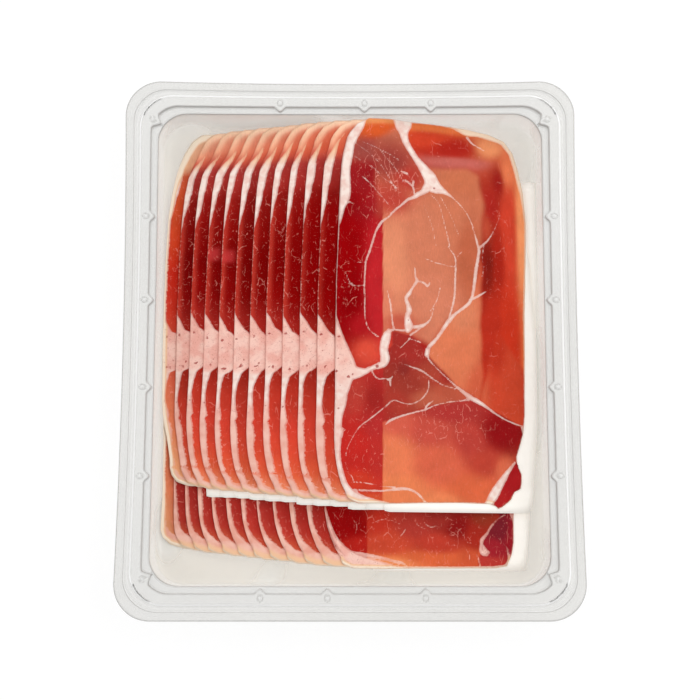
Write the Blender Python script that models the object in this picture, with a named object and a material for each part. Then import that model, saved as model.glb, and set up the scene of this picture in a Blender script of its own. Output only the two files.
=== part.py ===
"""Sealed pack of sliced prosciutto: a clear formed tray with a clear film lid,
and in it two shingled layers of thin slices with a sheet of paper under each slice.

Metres, +Z up. The origin is the middle of the tray's underside. +Y is the tray's far end.
"""
import math
import random

import bmesh
import bpy
import numpy as np

# ---- Tray -------------------------------------------------------------------------------
WIDTH = 0.250                # across the flange, left to right
LENGTH = 0.2970              # across the flange, near to far
HEIGHT = 0.025               # underside of the floor to the top of the flange
SHEET = 0.0005               # the plastic's thickness
GROOVE_OUTSIDE = 0.0049      # flat band between the flange's edge and the sealing groove
GROOVE_WIDTH = 0.0035
GROOVE_DEPTH = 0.0005
GROOVE_SLOPE = 0.0005
STEP_INSET = 0.0142          # the flange's edge to the notched step
STEP_DEPTH = 0.0022
STEP_SLOPE = 0.0004
WELL_INSET = 0.0183          # the flange's edge to the top of the well's wall
WALL_DRAFT = 0.0012
FLOOR_RADIUS = 0.0040        # round between the wall and the floor
FLANGE_CORNER = 0.0195
GROOVE_CORNER = 0.0180
STEP_CORNER = 0.0150
WELL_CORNER = 0.0160
FLOOR_CORNER = 0.0110
# How far each side is pulled in at its middle: right, far, left, near.
SIDE_BOWS = (0.0014, 0.0016, 0.0017, 0.0)
BOW_FADE = 0.025             # the inset from the flange's edge at which the bow is gone
# Stacking lugs on the step, as places along each side: right, far, left, near.
SIDE_LUGS = ((-0.072, -0.024, 0.024, 0.071),
             (-0.045, -0.008, 0.039),
             (-0.071, -0.024, 0.024, 0.072),
             (-0.0475, -0.012, 0.040))
LUG_WIDTH = 0.0066
LUG_DEPTH = 0.0029
CORNER_LUG_ANGLE = math.radians(27)      # from the X axis
CORNER_LUG_DEPTH = 0.0040
LUG_PROFILE = ((-0.5, 0.0), (-0.2, 0.8), (0.0, 1.0), (0.2, 0.8), (0.5, 0.0))
SIDE_STEPS = 4
CORNER_STEPS = 6
FLOOR_STEPS = 3

# ---- Film -------------------------------------------------------------------------------
FILM = 0.00010
FILM_GAP = 0.00012

# ---- Slices and papers ------------------------------------------------------------------
COUNT = 12                   # slices in a layer
SLICE = 0.00060
PAPER = 0.00006
GAP = 0.00012                # above and below each paper
PITCH = SLICE + PAPER + 2 * GAP
LAYER_CLEARANCE = 0.0002     # between the two layers
SEED = 7
WANDER = 0.0003              # how far a slice's ends stray from the rule

# The slice's outline, round from the near left corner: across at the first slice, at the
# third and at the last, and along as a fraction of its length from the near end.
UPPER_LEFT_EDGE = (
    (0.0160, 0.0104, 0.0125, 0.000), (0.0062, 0.0040, 0.0056, 0.030), (0.0050, 0.0002, 0.0020, 0.075),
    (0.0030, -0.0018, 0.0001, 0.137), (0.0006, -0.0021, -0.0002, 0.200), (0.0000, -0.0008, 0.0002, 0.300))
LOWER_LEFT_EDGE = (
    (0.0130, 0.0102, 0.0150, 0.000), (0.0014, 0.0046, 0.0088, 0.030), (0.0001, 0.0010, 0.0039, 0.075),
    (0.0006, -0.0007, 0.0006, 0.145), (0.0004, -0.0012, 0.0000, 0.300))
FAR_EDGE = (
    (0.0000, 0.0000, 0.0005, 0.520), (0.0015, 0.0018, 0.0022, 0.750), (0.0050, 0.0050, 0.0036, 0.870),
    (0.0085, 0.0114, 0.0058, 0.925), (0.0120, 0.0142, 0.0085, 0.960), (0.0200, 0.0200, 0.0190, 0.998),
    (0.0450, 0.0450, 0.0450, 0.992), (0.0750, 0.0750, 0.0750, 0.982), (0.0950, 0.0952, 0.0958, 0.956),
    (0.1030, 0.1031, 0.1036, 0.880), (0.1065, 0.1066, 0.1075, 0.735), (0.1055, 0.1056, 0.1058, 0.500))
# The near right corner, across and along: a hanging tail of shank in the upper layer.
UPPER_TAIL = (
    (0.1047, 0.231), (0.1026, 0.164), (0.0998, 0.123), (0.1006, 0.096), (0.1024, 0.078), (0.1018, 0.042),
    (0.0984, 0.034), (0.0962, 0.014), (0.0932, 0.002), (0.0888, -0.010), (0.0840, 0.003), (0.0500, 0.003))
LOWER_TAIL = (
    (0.1046, 0.250), (0.1018, 0.130), (0.1016, 0.065), (0.0988, 0.016), (0.0920, 0.001), (0.0500, 0.000))
THIRD = 2.5                  # the index that the third slice's shape is reached at
OUTLINE_STEPS = 2
OUTLINE_WIDTH = 0.1070       # the outline's own width, which each layer scales to its own

# The curl where a slice meets the tray's wall: where it starts, and how steep it is.
LEFT_CURL = (-0.0990, 0.35)
RIGHT_CURL = (0.0990, 0.50)


class Layer:
    """One shingled row of slices, each a step to the right of the one under it."""

    def __init__(self, name, left, step, growth, width, near, paper_past, left_edge, tail):
        self.name = name
        self.left = left                 # the first slice's left edge
        self.step = step                 # from one left edge to the next, at the first slice
        self.growth = growth             # by which the step widens, per slice squared
        self.width = width
        self.near = near                 # the first slice's near end
        self.paper_past = paper_past     # the most that a paper reaches past the slice's right end
        self.left_edge = left_edge
        self.tail = tail

    def slice_left(self, index):
        return self.left + self.step * index + self.growth * index * index

    def slice_near(self, index):
        return self.near - 0.00095 * index

    def slice_length(self, index):
        return 0.2000 + 0.0014 * index

    def drop(self, across):
        """How far a slice has sunk where those under it have ended."""
        fold = self.left + self.width + self.paper_past
        last_end = self.slice_left(COUNT - 1) + self.width + self.paper_past
        slope = (COUNT - 1) * PITCH / (last_end - fold)
        return slope * max(0.0, across - fold)

    def folds(self):
        return (LEFT_CURL[0], self.left + self.width + self.paper_past, RIGHT_CURL[0])


LOWER = Layer("lower", left=-0.1034, step=0.0065, growth=0.000145, width=0.1090,
              near=-0.1102, paper_past=0.0104, left_edge=LOWER_LEFT_EDGE, tail=LOWER_TAIL)
UPPER = Layer("upper", left=-0.1041, step=0.0075, growth=0.00011, width=0.1070,
              near=-0.0760, paper_past=0.0054, left_edge=UPPER_LEFT_EDGE, tail=UPPER_TAIL)

# A paper's left edge, in from its slice's: at the first paper, and more at each next one.
PAPER_IN = 0.0255
PAPER_IN_GROWTH = 0.0001
PAPER_CORNER = 0.0012
PAPER_CORNER_STEPS = 2
PAPER_WANDER = 0.0005        # how far a paper's near edge strays
# A paper's near and far ends, past its slice's near end and in from its far end.
PAPER_ENDS = {"upper": (0.0056, 0.0300), "lower": (0.0022, -0.0016)}
PAPER_NEAR_GROWTH = -0.0001  # at each next paper
# A paper's right edge, past its slice's, at the near end, at the middle and at the far end.
PAPER_RIGHT = {"upper": (0.0008, 0.0050, -0.0050), "lower": (0.0016, 0.0085, 0.0102)}
PAPER_RIGHT_STEPS = 4


def curl(across):
    rise_left = LEFT_CURL[1] * max(0.0, LEFT_CURL[0] - across)
    rise_right = RIGHT_CURL[1] * max(0.0, across - RIGHT_CURL[0])
    return rise_left + rise_right


def lower_top_stations():
    """Places across the tray with the height of the lower layer's top above the floor."""
    middle = COUNT // 2 - 1
    last = COUNT - 1
    fold = LOWER.left + LOWER.width + LOWER.paper_past
    end = LOWER.slice_left(last) + LOWER.width + LOWER.paper_past
    return ((LOWER.slice_left(0), PITCH),
            (LOWER.slice_left(middle), PITCH * (middle + 1)),
            (LOWER.slice_left(last), PITCH * COUNT),
            (fold, PITCH * COUNT),
            (end, PITCH * COUNT - LOWER.drop(end)))


def upper_base(across):
    places, heights = zip(*lower_top_stations())
    return float(np.interp(across, places, heights)) + LAYER_CLEARANCE


def level(layer, index, across):
    """Height of the underside of a slice's paper, less its gap, at a place across."""
    base = upper_base(across) if layer is UPPER else 0.0
    return SHEET + base + PITCH * index - layer.drop(across) + curl(across)


# ---- Outlines ---------------------------------------------------------------------------

def rim_ring(inset, corner, lugs=False):
    """A rounded rectangle of the tray, with its sides' bows and the step's lugs."""
    points = []
    for side in range(4):
        angle = side * math.pi / 2
        outward = np.array((math.cos(angle), math.sin(angle)))
        along = np.array((-math.sin(angle), math.cos(angle)))
        half_across = (WIDTH, LENGTH)[side % 2] / 2 - inset
        half_along = (LENGTH, WIDTH)[side % 2] / 2 - inset
        run = half_along - corner
        stations = [(s, 0.0) for s in np.linspace(-run, run, SIDE_STEPS + 1)]
        if lugs:
            stations = [(-run, 0.0), (run, 0.0)]
            stations += [(place + LUG_WIDTH * step, LUG_DEPTH * depth)
                         for place in SIDE_LUGS[side] for step, depth in LUG_PROFILE]
            stations.sort()
        for place, depth in stations:
            bow = SIDE_BOWS[side] * (1 - (place / run) ** 2) * max(0.0, 1 - inset / BOW_FADE)
            points.append(outward * (half_across - bow - depth) + along * place)
        centre = outward * (half_across - corner) + along * run
        turns = [(math.pi / 2 * step / CORNER_STEPS, 0.0) for step in range(1, CORNER_STEPS)]
        if lugs:
            middle = CORNER_LUG_ANGLE if side % 2 == 0 else math.pi / 2 - CORNER_LUG_ANGLE
            spread = LUG_WIDTH / corner
            near_lug = [(middle + spread * step, CORNER_LUG_DEPTH * depth)
                        for step, depth in LUG_PROFILE]
            far_off = [turn for turn in turns if abs(turn[0] - middle) > 0.6 * spread]
            turns = sorted(near_lug + far_off)
        for turn, depth in turns:
            ray = outward * math.cos(turn) + along * math.sin(turn)
            points.append(centre + ray * (corner - depth))
    return points


def smooth_loop(anchors, steps):
    """Catmull-Rom curve round a closed list of points."""
    points = []
    total = len(anchors)
    for index in range(total):
        before, start, end, after = (np.array(anchors[(index + shift) % total])
                                     for shift in (-1, 0, 1, 2))
        for step in range(steps):
            t = step / steps
            points.append(0.5 * (2 * start + (end - before) * t
                                 + (2 * before - 5 * start + 4 * end - after) * t * t
                                 + (3 * start - before - 3 * end + after) * t ** 3))
    return points


def slice_outline(layer, index):
    wander = random.Random(f"{layer.name} {index} {SEED}")
    left = layer.slice_left(index)
    near = layer.slice_near(index) + wander.uniform(-WANDER, WANDER)
    length = layer.slice_length(index) + wander.uniform(-WANDER, WANDER)
    scale = layer.width / OUTLINE_WIDTH
    anchors = []
    for first, third, last, along in layer.left_edge + FAR_EDGE:
        across = float(np.interp(index, (0, THIRD, COUNT - 1), (first, third, last)))
        anchors.append((left + scale * across, near + length * along))
    anchors += [(left + scale * across, near + length * along) for across, along in layer.tail]
    return smooth_loop(anchors, OUTLINE_STEPS)


def paper_outline(layer, index):
    """A rectangle with small corners, whose right edge bends as it was laid."""
    wander = random.Random(f"paper {layer.name} {index} {SEED}")
    past, short = PAPER_ENDS[layer.name]
    left = layer.slice_left(index) + PAPER_IN + PAPER_IN_GROWTH * index
    near = layer.slice_near(index) - past - PAPER_NEAR_GROWTH * index
    near += wander.uniform(-PAPER_WANDER, PAPER_WANDER)
    far = layer.slice_near(index) + layer.slice_length(index) - short
    slice_right = layer.slice_left(index) + layer.width
    right_near, right_middle, right_far = (slice_right + reach for reach in PAPER_RIGHT[layer.name])
    points = []
    for turn, (x, y) in enumerate(((left, near), (right_near, near), (right_far, far), (left, far))):
        start = math.pi + turn * math.pi / 2
        centre_x = x + math.copysign(PAPER_CORNER, (left + slice_right) / 2 - x)
        centre_y = y + math.copysign(PAPER_CORNER, (near + far) / 2 - y)
        for step in range(PAPER_CORNER_STEPS + 1):
            angle = start + math.pi / 2 * step / PAPER_CORNER_STEPS
            points.append((centre_x + PAPER_CORNER * math.cos(angle),
                           centre_y + PAPER_CORNER * math.sin(angle)))
        if turn == 1:
            bulge = right_middle - (right_near + right_far) / 2
            for step in range(1, PAPER_RIGHT_STEPS):
                share = step / PAPER_RIGHT_STEPS
                across = right_near + (right_far - right_near) * share + 4 * bulge * share * (1 - share)
                points.append((across, near + (far - near) * share))
    return points


# ---- Building ---------------------------------------------------------------------------

def material(name, colour, roughness, alpha=1.0, metallic=0.0):
    made = bpy.data.materials.new(name)
    made.use_nodes = True
    shader = made.node_tree.nodes["Principled BSDF"]
    shader.inputs["Base Color"].default_value = (*colour, 1.0)
    shader.inputs["Roughness"].default_value = roughness
    shader.inputs["Metallic"].default_value = metallic
    shader.inputs["Alpha"].default_value = alpha
    made.diffuse_color = (*colour, alpha)
    return made


def add_object(name, mesh_builder, look):
    """Turn a bmesh into a named object with its own material."""
    bmesh.ops.recalc_face_normals(mesh_builder, faces=mesh_builder.faces)
    mesh = bpy.data.meshes.new(name)
    mesh_builder.to_mesh(mesh)
    mesh_builder.free()
    mesh.materials.append(look)
    made = bpy.data.objects.new(name, mesh)
    bpy.context.scene.collection.objects.link(made)
    return made


def add_loop(builder, points, height):
    verts = [builder.verts.new((x, y, height)) for x, y in points]
    return [builder.edges.new((verts[i - 1], verts[i])) for i in range(len(verts))]


def build_tray():
    floor_inset = WELL_INSET + WALL_DRAFT
    top = HEIGHT
    ledge = HEIGHT - STEP_DEPTH
    groove = HEIGHT - GROOVE_DEPTH
    groove_end = GROOVE_OUTSIDE + GROOVE_WIDTH
    rings = [(0.0, FLANGE_CORNER, top, False),
             (GROOVE_OUTSIDE, GROOVE_CORNER, top, False),
             (GROOVE_OUTSIDE + GROOVE_SLOPE, GROOVE_CORNER, groove, False),
             (groove_end - GROOVE_SLOPE, GROOVE_CORNER, groove, False),
             (groove_end, GROOVE_CORNER, top, False),
             (STEP_INSET, STEP_CORNER, top, True),
             (STEP_INSET + STEP_SLOPE, STEP_CORNER, ledge, True),
             (WELL_INSET, WELL_CORNER, ledge, False)]
    for step in range(FLOOR_STEPS + 1):
        angle = math.pi / 2 * step / FLOOR_STEPS
        inward = FLOOR_RADIUS * (1 - math.cos(angle))
        corner = WELL_CORNER + (FLOOR_CORNER - WELL_CORNER) * step / FLOOR_STEPS
        height = SHEET + FLOOR_RADIUS * (1 - math.sin(angle))
        rings.append((floor_inset + inward, corner, height, False))

    builder = bmesh.new()
    loops = [add_loop(builder, rim_ring(inset, corner, lugs), height)
             for inset, corner, height, lugs in rings]
    for index in range(len(loops) - 1):
        pair = loops[index] + loops[index + 1]
        if len(loops[index]) == len(loops[index + 1]):
            bmesh.ops.bridge_loops(builder, edges=pair)
        else:
            bmesh.ops.triangle_fill(builder, edges=pair, use_beauty=True)
    bmesh.ops.edgeloop_fill(builder, edges=loops[-1])
    tray = add_object("tray", builder, material("clear tray", (0.85, 0.87, 0.87), 0.12, alpha=0.35))
    if tray.data.polygons[-1].normal.z < 0:
        tray.data.flip_normals()
    shell = tray.modifiers.new("Sheet", "SOLIDIFY")
    shell.thickness = SHEET
    shell.offset = -1.0
    shell.use_even_offset = True
    tray.data.shade_smooth()
    tray.data.set_sharp_from_angle(angle=math.radians(35))
    return tray


def extruded(builder, thickness):
    """Raise a copy of every face by a thickness and close the sides."""
    raised = bmesh.ops.extrude_face_region(builder, geom=list(builder.faces), use_keep_orig=True)
    verts = [item for item in raised["geom"] if isinstance(item, bmesh.types.BMVert)]
    bmesh.ops.translate(builder, verts=verts, vec=(0.0, 0.0, thickness))


def build_film():
    builder = bmesh.new()
    outline = add_loop(builder, rim_ring(0.0, FLANGE_CORNER), HEIGHT + FILM_GAP)
    bmesh.ops.edgeloop_fill(builder, edges=outline)
    extruded(builder, FILM)
    return add_object("lid_film", builder, material("clear film", (0.9, 0.92, 0.92), 0.08, alpha=0.15))


def build_sheet(name, layer, index, outline, offset, thickness, look):
    """A thin sheet of an outline, folded over what lies under it."""
    builder = bmesh.new()
    edges = add_loop(builder, outline, 0.0)
    bmesh.ops.edgeloop_fill(builder, edges=edges)
    folds = set(layer.folds())
    if layer is UPPER:
        folds.update(place for place, height in lower_top_stations())
    for place in sorted(folds):
        everything = builder.verts[:] + builder.edges[:] + builder.faces[:]
        bmesh.ops.bisect_plane(builder, geom=everything, dist=1e-6,
                               plane_co=(place, 0.0, 0.0), plane_no=(1.0, 0.0, 0.0))
    for vert in builder.verts:
        vert.co.z = level(layer, index, vert.co.x) + offset
    extruded(builder, thickness)
    return add_object(name, builder, look)


def build_layer(layer):
    for index in range(COUNT):
        number = index + 1
        paper = material(f"paper {layer.name} {number}", (0.93, 0.92, 0.89), 0.6)
        build_sheet(f"{layer.name}_paper_{number:02d}", layer, index,
                    paper_outline(layer, index), GAP, PAPER, paper)
        ham = material(f"ham {layer.name} {number}", (0.55, 0.09, 0.06), 0.35)
        build_sheet(f"{layer.name}_slice_{number:02d}", layer, index,
                    slice_outline(layer, index), 2 * GAP + PAPER, SLICE, ham)


def main():
    for old in list(bpy.data.objects):
        bpy.data.objects.remove(old, do_unlink=True)
    build_tray()
    build_film()
    build_layer(LOWER)
    build_layer(UPPER)


main()
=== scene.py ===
"""Looks of the sealed pack of sliced prosciutto: marbled slices, interleaf papers, clear tray."""

import math
import random

import bmesh
import bpy
import numpy as np
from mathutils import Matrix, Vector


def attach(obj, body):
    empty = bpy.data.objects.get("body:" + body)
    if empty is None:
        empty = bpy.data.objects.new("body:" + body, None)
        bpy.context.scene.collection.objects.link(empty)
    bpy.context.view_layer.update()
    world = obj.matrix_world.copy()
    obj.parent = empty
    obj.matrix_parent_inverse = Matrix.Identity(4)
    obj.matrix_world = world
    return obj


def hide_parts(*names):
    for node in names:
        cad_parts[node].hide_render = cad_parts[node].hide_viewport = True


MM = 0.001
COUNT = 12                        # slices in a layer
TOP = COUNT                       # the number of the slice that lies whole on its layer
LAYERS = ("lower", "upper")
FULL_LENGTH = 218.0               # a whole slice's length, in millimetres

# ---- Sheets -----------------------------------------------------------------------------
# Faces across, faces along, and how much the faces crowd to the left.
WHOLE_GRID = (134, 270, 1.0)
STRIP_GRID = (34, 190, 1.9)
PAPER_GRID = (30, 48, 1.0)
EDGE_WANDER = 0.00012             # how far a slice's edge wanders from its outline
EDGE_WAVES = 14
WAVE_HEIGHT = 0.0006              # of the soft waves that a whole layer shares
FAR_DIP = 0.00096                 # of the upper layer, past the far end of the lower one

# ---- Colours, as they show, 0 to 255 ----------------------------------------------------
# A pair is a mottled colour: its two ends.
PALE_FAT = ((249, 230, 220), (238, 200, 188))
ROSY_FAT = ((248, 204, 190), (239, 176, 162))
FLESHY_FAT = ((243, 192, 176), (232, 164, 146))
RIND = ((243, 196, 158), (253, 234, 212))
THREAD = (244, 158, 142)
BLOOD = (164, 48, 46)
PAPER_WHITE = ((250, 248, 243), (238, 235, 228))
PAPER_GLOW = (1.0, 0.93, 0.86, 1.0)              # as light: a painted glow, the paper being no lamp
CLEAR_FLANGE = (202, 200, 194)
CLEAR_WELL = (216, 204, 182)
# Painted reflection: soft pale patches on the clear plastic.
CLEAR_REFLECTION = (236, 234, 228)
# Painted shade: the dark lines that the clear plastic shows along its steps and edges.
CLEAR_EDGE_SHADE = (88, 88, 84)
CLEAR_GLEAM = (255, 255, 255)

# ---- The view ---------------------------------------------------------------------------
VIEW_WIDTH = 700                  # pixels
VIEW_DISTANCE = 0.800             # camera to the middle of the flange
VIEW_LEAN = 0.168                 # sine of the camera's lean from straight down
VIEW_FOCAL = 1475.0               # pixels
VIEW_MIDDLE = (350.0, 343.0)      # the pixel that the flange's middle falls on
SENSOR = 36.0
FLANGE_HEIGHT = 0.025
RAY_ROUNDS = 12                   # of finding the height at which a ray meets a slice

# ---- Tray -------------------------------------------------------------------------------
TRAY_WIDTH = 0.250
TRAY_LENGTH = 0.297
SHEET = 0.0005
GROOVE_DEPTH = 0.0005
FLANGE_CORNER = 0.0195
GROOVE_CORNER = 0.0180
STEP_CORNER = 0.0150
WELL_CORNER = 0.0160
FLOOR_CORNER = 0.0110
STEP_INSET = 0.0142
STEP_DEPTH = 0.0022
WELL_INSET = 0.0183
WALL_DRAFT = 0.0012               # by which the wall leans in over its rise
WALL_RISE = 0.020
FLOOR_RADIUS = 0.0040
SIDE_BOWS = (0.0014, 0.0016, 0.0017, 0.0)       # right, far, left, near
BOW_FADE = 0.025
SIDE_LUGS = ((-0.072, -0.024, 0.024, 0.071),
             (-0.045, -0.008, 0.039),
             (-0.071, -0.024, 0.024, 0.072),
             (-0.0475, -0.012, 0.040))
LUG_WIDTH = 0.0066
LUG_DEPTH = 0.0026
CORNER_LUG_ANGLE = math.radians(27)
CORNER_LUG_DEPTH = 0.0040
LUG_HALF_STEPS = 11               # points on either side of a lug's peak
LUG_PROFILE = tuple((step / 20, (0.5 + 0.5 * math.cos(math.pi * step / LUG_HALF_STEPS)) ** 0.9)
                    for step in range(-LUG_HALF_STEPS, LUG_HALF_STEPS + 1))
NUB_RADIUS = 0.0013
NUB_HEIGHT = 0.0004
NUB_OUT = 0.0022                  # from the step to the nub's middle
SIDES = range(4)                  # right, far, left, near
SIDE_POINTS = 25                  # along a straight side, lugs apart
CORNER_POINTS = 26
STRAIGHT_SHARE = 0.78             # of a side, kept in line with its lugs at every inset
WALL_LEVELS = (0.018, 0.0135, 0.009)
FLOOR_STEPS = 6                   # round the foot of the wall
WELL_SHOULDER = 0.0004            # below the ledge, where the well's wall begins
FLAT_HAZE = 0.26

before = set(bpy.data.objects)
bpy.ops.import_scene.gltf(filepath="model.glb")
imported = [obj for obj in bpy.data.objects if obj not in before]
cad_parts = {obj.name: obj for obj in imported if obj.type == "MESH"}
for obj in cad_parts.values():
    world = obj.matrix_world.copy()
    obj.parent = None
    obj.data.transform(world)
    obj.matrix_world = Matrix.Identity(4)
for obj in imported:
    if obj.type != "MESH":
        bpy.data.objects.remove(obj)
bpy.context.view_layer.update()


# ---- Shader kit -------------------------------------------------------------------------

class Value:
    """A socket that carries a number, usable in Python expressions."""

    def __init__(self, finish, socket):
        self.finish = finish
        self.socket = socket

    def math(self, operation, *others):
        inputs = dict(enumerate((self,) + others))
        return Value(self.finish, self.finish.node("ShaderNodeMath", {"operation": operation}, inputs))

    def __add__(self, other):
        return self.math("ADD", other)

    def __sub__(self, other):
        return self.math("SUBTRACT", other)

    def __mul__(self, other):
        return self.math("MULTIPLY", other)

    def __pow__(self, other):
        return self.math("POWER", other)

    def __rsub__(self, other):
        return (self * -1.0) + other

    __radd__ = __add__
    __rmul__ = __mul__

    def __abs__(self):
        return self.math("ABSOLUTE")

    def greatest(self, other):
        return self.math("MAXIMUM", other)

    def least(self, other):
        return self.math("MINIMUM", other)

    def ramp(self, start, end):
        """0 at start, 1 at end, smooth between; start may be the greater."""
        turned = start > end
        low, high = min(start, end), max(start, end)
        settings = {"interpolation_type": "SMOOTHSTEP"}
        inputs = {"Value": self, "From Min": low, "From Max": high}
        risen = Value(self.finish, self.finish.node("ShaderNodeMapRange", settings, inputs))
        return 1.0 - risen if turned else risen


class Finish:
    """A material, with the nodes that its surface is made of."""

    def __init__(self, name):
        self.material = bpy.data.materials.new(name)
        self.material.use_nodes = True
        self.tree = self.material.node_tree
        self.shader = self.tree.nodes["Principled BSDF"]
        self.output = self.tree.nodes["Material Output"]

    def connect(self, value, socket):
        value = getattr(value, "socket", value)
        if isinstance(value, bpy.types.NodeSocket):
            self.tree.links.new(value, socket)
        else:
            socket.default_value = value

    def node(self, kind, settings=None, inputs=None, output=0):
        made = self.tree.nodes.new(kind)
        for name, setting in (settings or {}).items():
            setattr(made, name, setting)
        for name, value in (inputs or {}).items():
            self.connect(value, made.inputs[name])
        return made.outputs[output]

    def surface(self, **sockets):
        for name, value in sockets.items():
            self.connect(value, self.shader.inputs[name.replace("_", " ")])

    def number(self, name):
        return Value(self, self.node("ShaderNodeAttribute", {"attribute_name": name}, output="Fac"))

    def attribute(self, name, output):
        return self.node("ShaderNodeAttribute", {"attribute_name": name}, output=output)

    def place(self):
        return self.node("ShaderNodeTexCoord", output="Object")

    def turned(self, vector, angle, scale=(1.0, 1.0, 1.0)):
        inputs = {"Vector": vector, "Rotation": (0.0, 0.0, angle), "Scale": scale}
        return self.node("ShaderNodeMapping", None, inputs)

    def noise(self, vector, scale, detail=3.0, roughness=0.5, distortion=0.0):
        inputs = {"Vector": vector, "Scale": scale, "Detail": detail,
                  "Roughness": roughness, "Distortion": distortion}
        return Value(self, self.node("ShaderNodeTexNoise", None, inputs, "Fac"))

    def cells(self, vector, scale, feature="F1"):
        settings = {"voronoi_dimensions": "2D", "feature": feature}
        return Value(self, self.node("ShaderNodeTexVoronoi", settings, {"Vector": vector, "Scale": scale},
                                     "Distance"))

    def swayed(self, vector, scale, reach):
        """The vector, pushed about by soft noise."""
        inputs = {"Vector": vector, "Scale": scale, "Detail": 2.0}
        noise = self.node("ShaderNodeTexNoise", None, inputs, "Color")
        inputs = {0: noise, 1: (0.5, 0.5, 0.5)}
        push = self.node("ShaderNodeVectorMath", {"operation": "SUBTRACT"}, inputs)
        inputs = {0: push, 1: (reach, reach, 0.0), 2: vector}
        return self.node("ShaderNodeVectorMath", {"operation": "MULTIPLY_ADD"}, inputs)

    def web(self, vector, scale, half):
        """Lines between cells, scale of them to a unit: 1 on a line, 0 past twice its half width."""
        return self.cells(vector, scale, "DISTANCE_TO_EDGE").ramp(2 * half * scale, 0.4 * half * scale)

    def mixed(self, share, first, second, blend="MIX"):
        """One colour turned to another by a share."""
        settings = {"data_type": "RGBA", "blend_type": blend}
        return self.node("ShaderNodeMix", settings, {"Factor": share, 6: first, 7: second}, 2)

    def mottled(self, share, pair):
        return self.mixed(share, paint(*pair[0]), paint(*pair[1]))

    def bumped(self, height, strength, distance):
        inputs = {"Height": height, "Strength": strength, "Distance": distance}
        return self.node("ShaderNodeBump", None, inputs)


def linear(red, green, blue):
    """A colour given as it shows, 0 to 255, as light."""
    shown = np.array((red, green, blue)) / 255
    light = np.where(shown <= 0.04045, shown / 12.92, ((shown + 0.055) / 1.055) ** 2.4)
    return tuple(float(part) for part in light)


def paint(red, green, blue):
    return (*linear(red, green, blue), 1.0)


# ---- Sheets: slices and papers ----------------------------------------------------------

def smoothstep(low, high, values):
    share = np.clip((values - low) / (high - low), 0.0, 1.0)
    return share * share * (3 - 2 * share)


def straight_gap(spots, start, end):
    """Where a straight run is nearest to each spot, as a share of it, and how near."""
    run = end - start
    share = np.clip((spots - start) @ run / (run @ run), 0, 1)
    return share, np.hypot(*(spots - start - share[:, None] * run).T)


class Drape:
    """The lie of one thin sheet, read from its solid in the frame."""

    SOFTEN = 0.004               # reach of the rounding of each fold
    SOFTEN_STEPS = 9
    BEYOND = 0.030               # how far the lie is carried on past each end
    CALM_TURN = 0.16             # radians to either side that the calm outline looks
    CALM_LOOKS = 17
    CALM_KEPT = slice(2, 11)     # of those looks in order of reach, the ones it averages
    RIM_POINTS = 480

    def __init__(self, node):
        corners = np.array([tuple(vert.co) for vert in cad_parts[node].data.vertices])
        self.middle = (corners[:, :2].min(0) + corners[:, :2].max(0)) / 2
        self.low = corners[:, :2].min(0)
        self.high = corners[:, :2].max(0)
        across = np.round(corners[:, 0], 5)
        stations = np.unique(across)
        tops = np.array([corners[across == place, 2].max() for place in stations])
        bottoms = np.array([corners[across == place, 2].min() for place in stations])
        self.thickness = float(np.median(tops - bottoms))
        ends = [(0, 3), (-1, -4)]
        slopes = [(tops[end] - tops[back]) / (stations[end] - stations[back]) for end, back in ends]
        self.stations = np.concatenate(([stations[0] - self.BEYOND], stations,
                                        [stations[-1] + self.BEYOND]))
        self.tops = np.concatenate(([tops[0] - slopes[0] * self.BEYOND], tops,
                                    [tops[-1] + slopes[1] * self.BEYOND]))
        spokes = corners[:, :2] - self.middle
        angles, first = np.unique(np.round(np.arctan2(spokes[:, 1], spokes[:, 0]), 7), return_index=True)
        self.angles = angles
        self.corners = spokes[first]

    def reach(self, angles):
        """From the middle to the outline, at each angle."""
        after = np.searchsorted(self.angles, angles) % len(self.angles)
        start, end = self.corners[after - 1], self.corners[after]
        run = end - start
        ray = np.column_stack((np.cos(angles), np.sin(angles)))
        return ((start[:, 0] * run[:, 1] - start[:, 1] * run[:, 0])
                / (ray[:, 0] * run[:, 1] - ray[:, 1] * run[:, 0]))

    def calm_reach(self, angles):
        """The reach without the outline's notches and spurs."""
        looks = np.linspace(-self.CALM_TURN, self.CALM_TURN, self.CALM_LOOKS)
        turns = (np.add.outer(looks, angles) + math.pi) % (2 * math.pi) - math.pi
        return np.sort([self.reach(turn) for turn in turns], axis=0)[self.CALM_KEPT].mean(0)

    def depth(self, place):
        """How far in from the outline each place is, in metres."""
        turns = np.linspace(-math.pi, math.pi, self.RIM_POINTS, endpoint=False) + 1e-6
        rim = self.middle + np.column_stack((np.cos(turns), np.sin(turns))) * self.reach(turns)[:, None]
        nearest = np.full(len(place), np.inf)
        for start, end in zip(rim, np.roll(rim, -1, 0)):
            nearest = np.minimum(nearest, straight_gap(place, start, end)[1])
        return nearest

    def top(self, across):
        """The height of the sheet's upper face, with its folds rounded."""
        offsets = np.linspace(-self.SOFTEN, self.SOFTEN, self.SOFTEN_STEPS)
        heights = [np.interp(across + offset, self.stations, self.tops) for offset in offsets]
        return np.mean(heights, axis=0)


def set_attribute(mesh, name, kind, values):
    made = mesh.attributes.new(name, kind, "POINT")
    part = {"FLOAT": "value", "FLOAT_VECTOR": "vector", "FLOAT_COLOR": "color"}[kind]
    made.data.foreach_set(part, np.ascontiguousarray(values, np.float32).ravel())


def finished(name, builder, look):
    """A piece of the part, made from what was built."""
    mesh = bpy.data.meshes.new(name)
    builder.to_mesh(mesh)
    builder.free()
    mesh.materials.append(look)
    piece = bpy.data.objects.new(name, mesh)
    bpy.context.scene.collection.objects.link(piece)
    mesh.shade_smooth()
    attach(piece, "root")
    return piece


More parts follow.
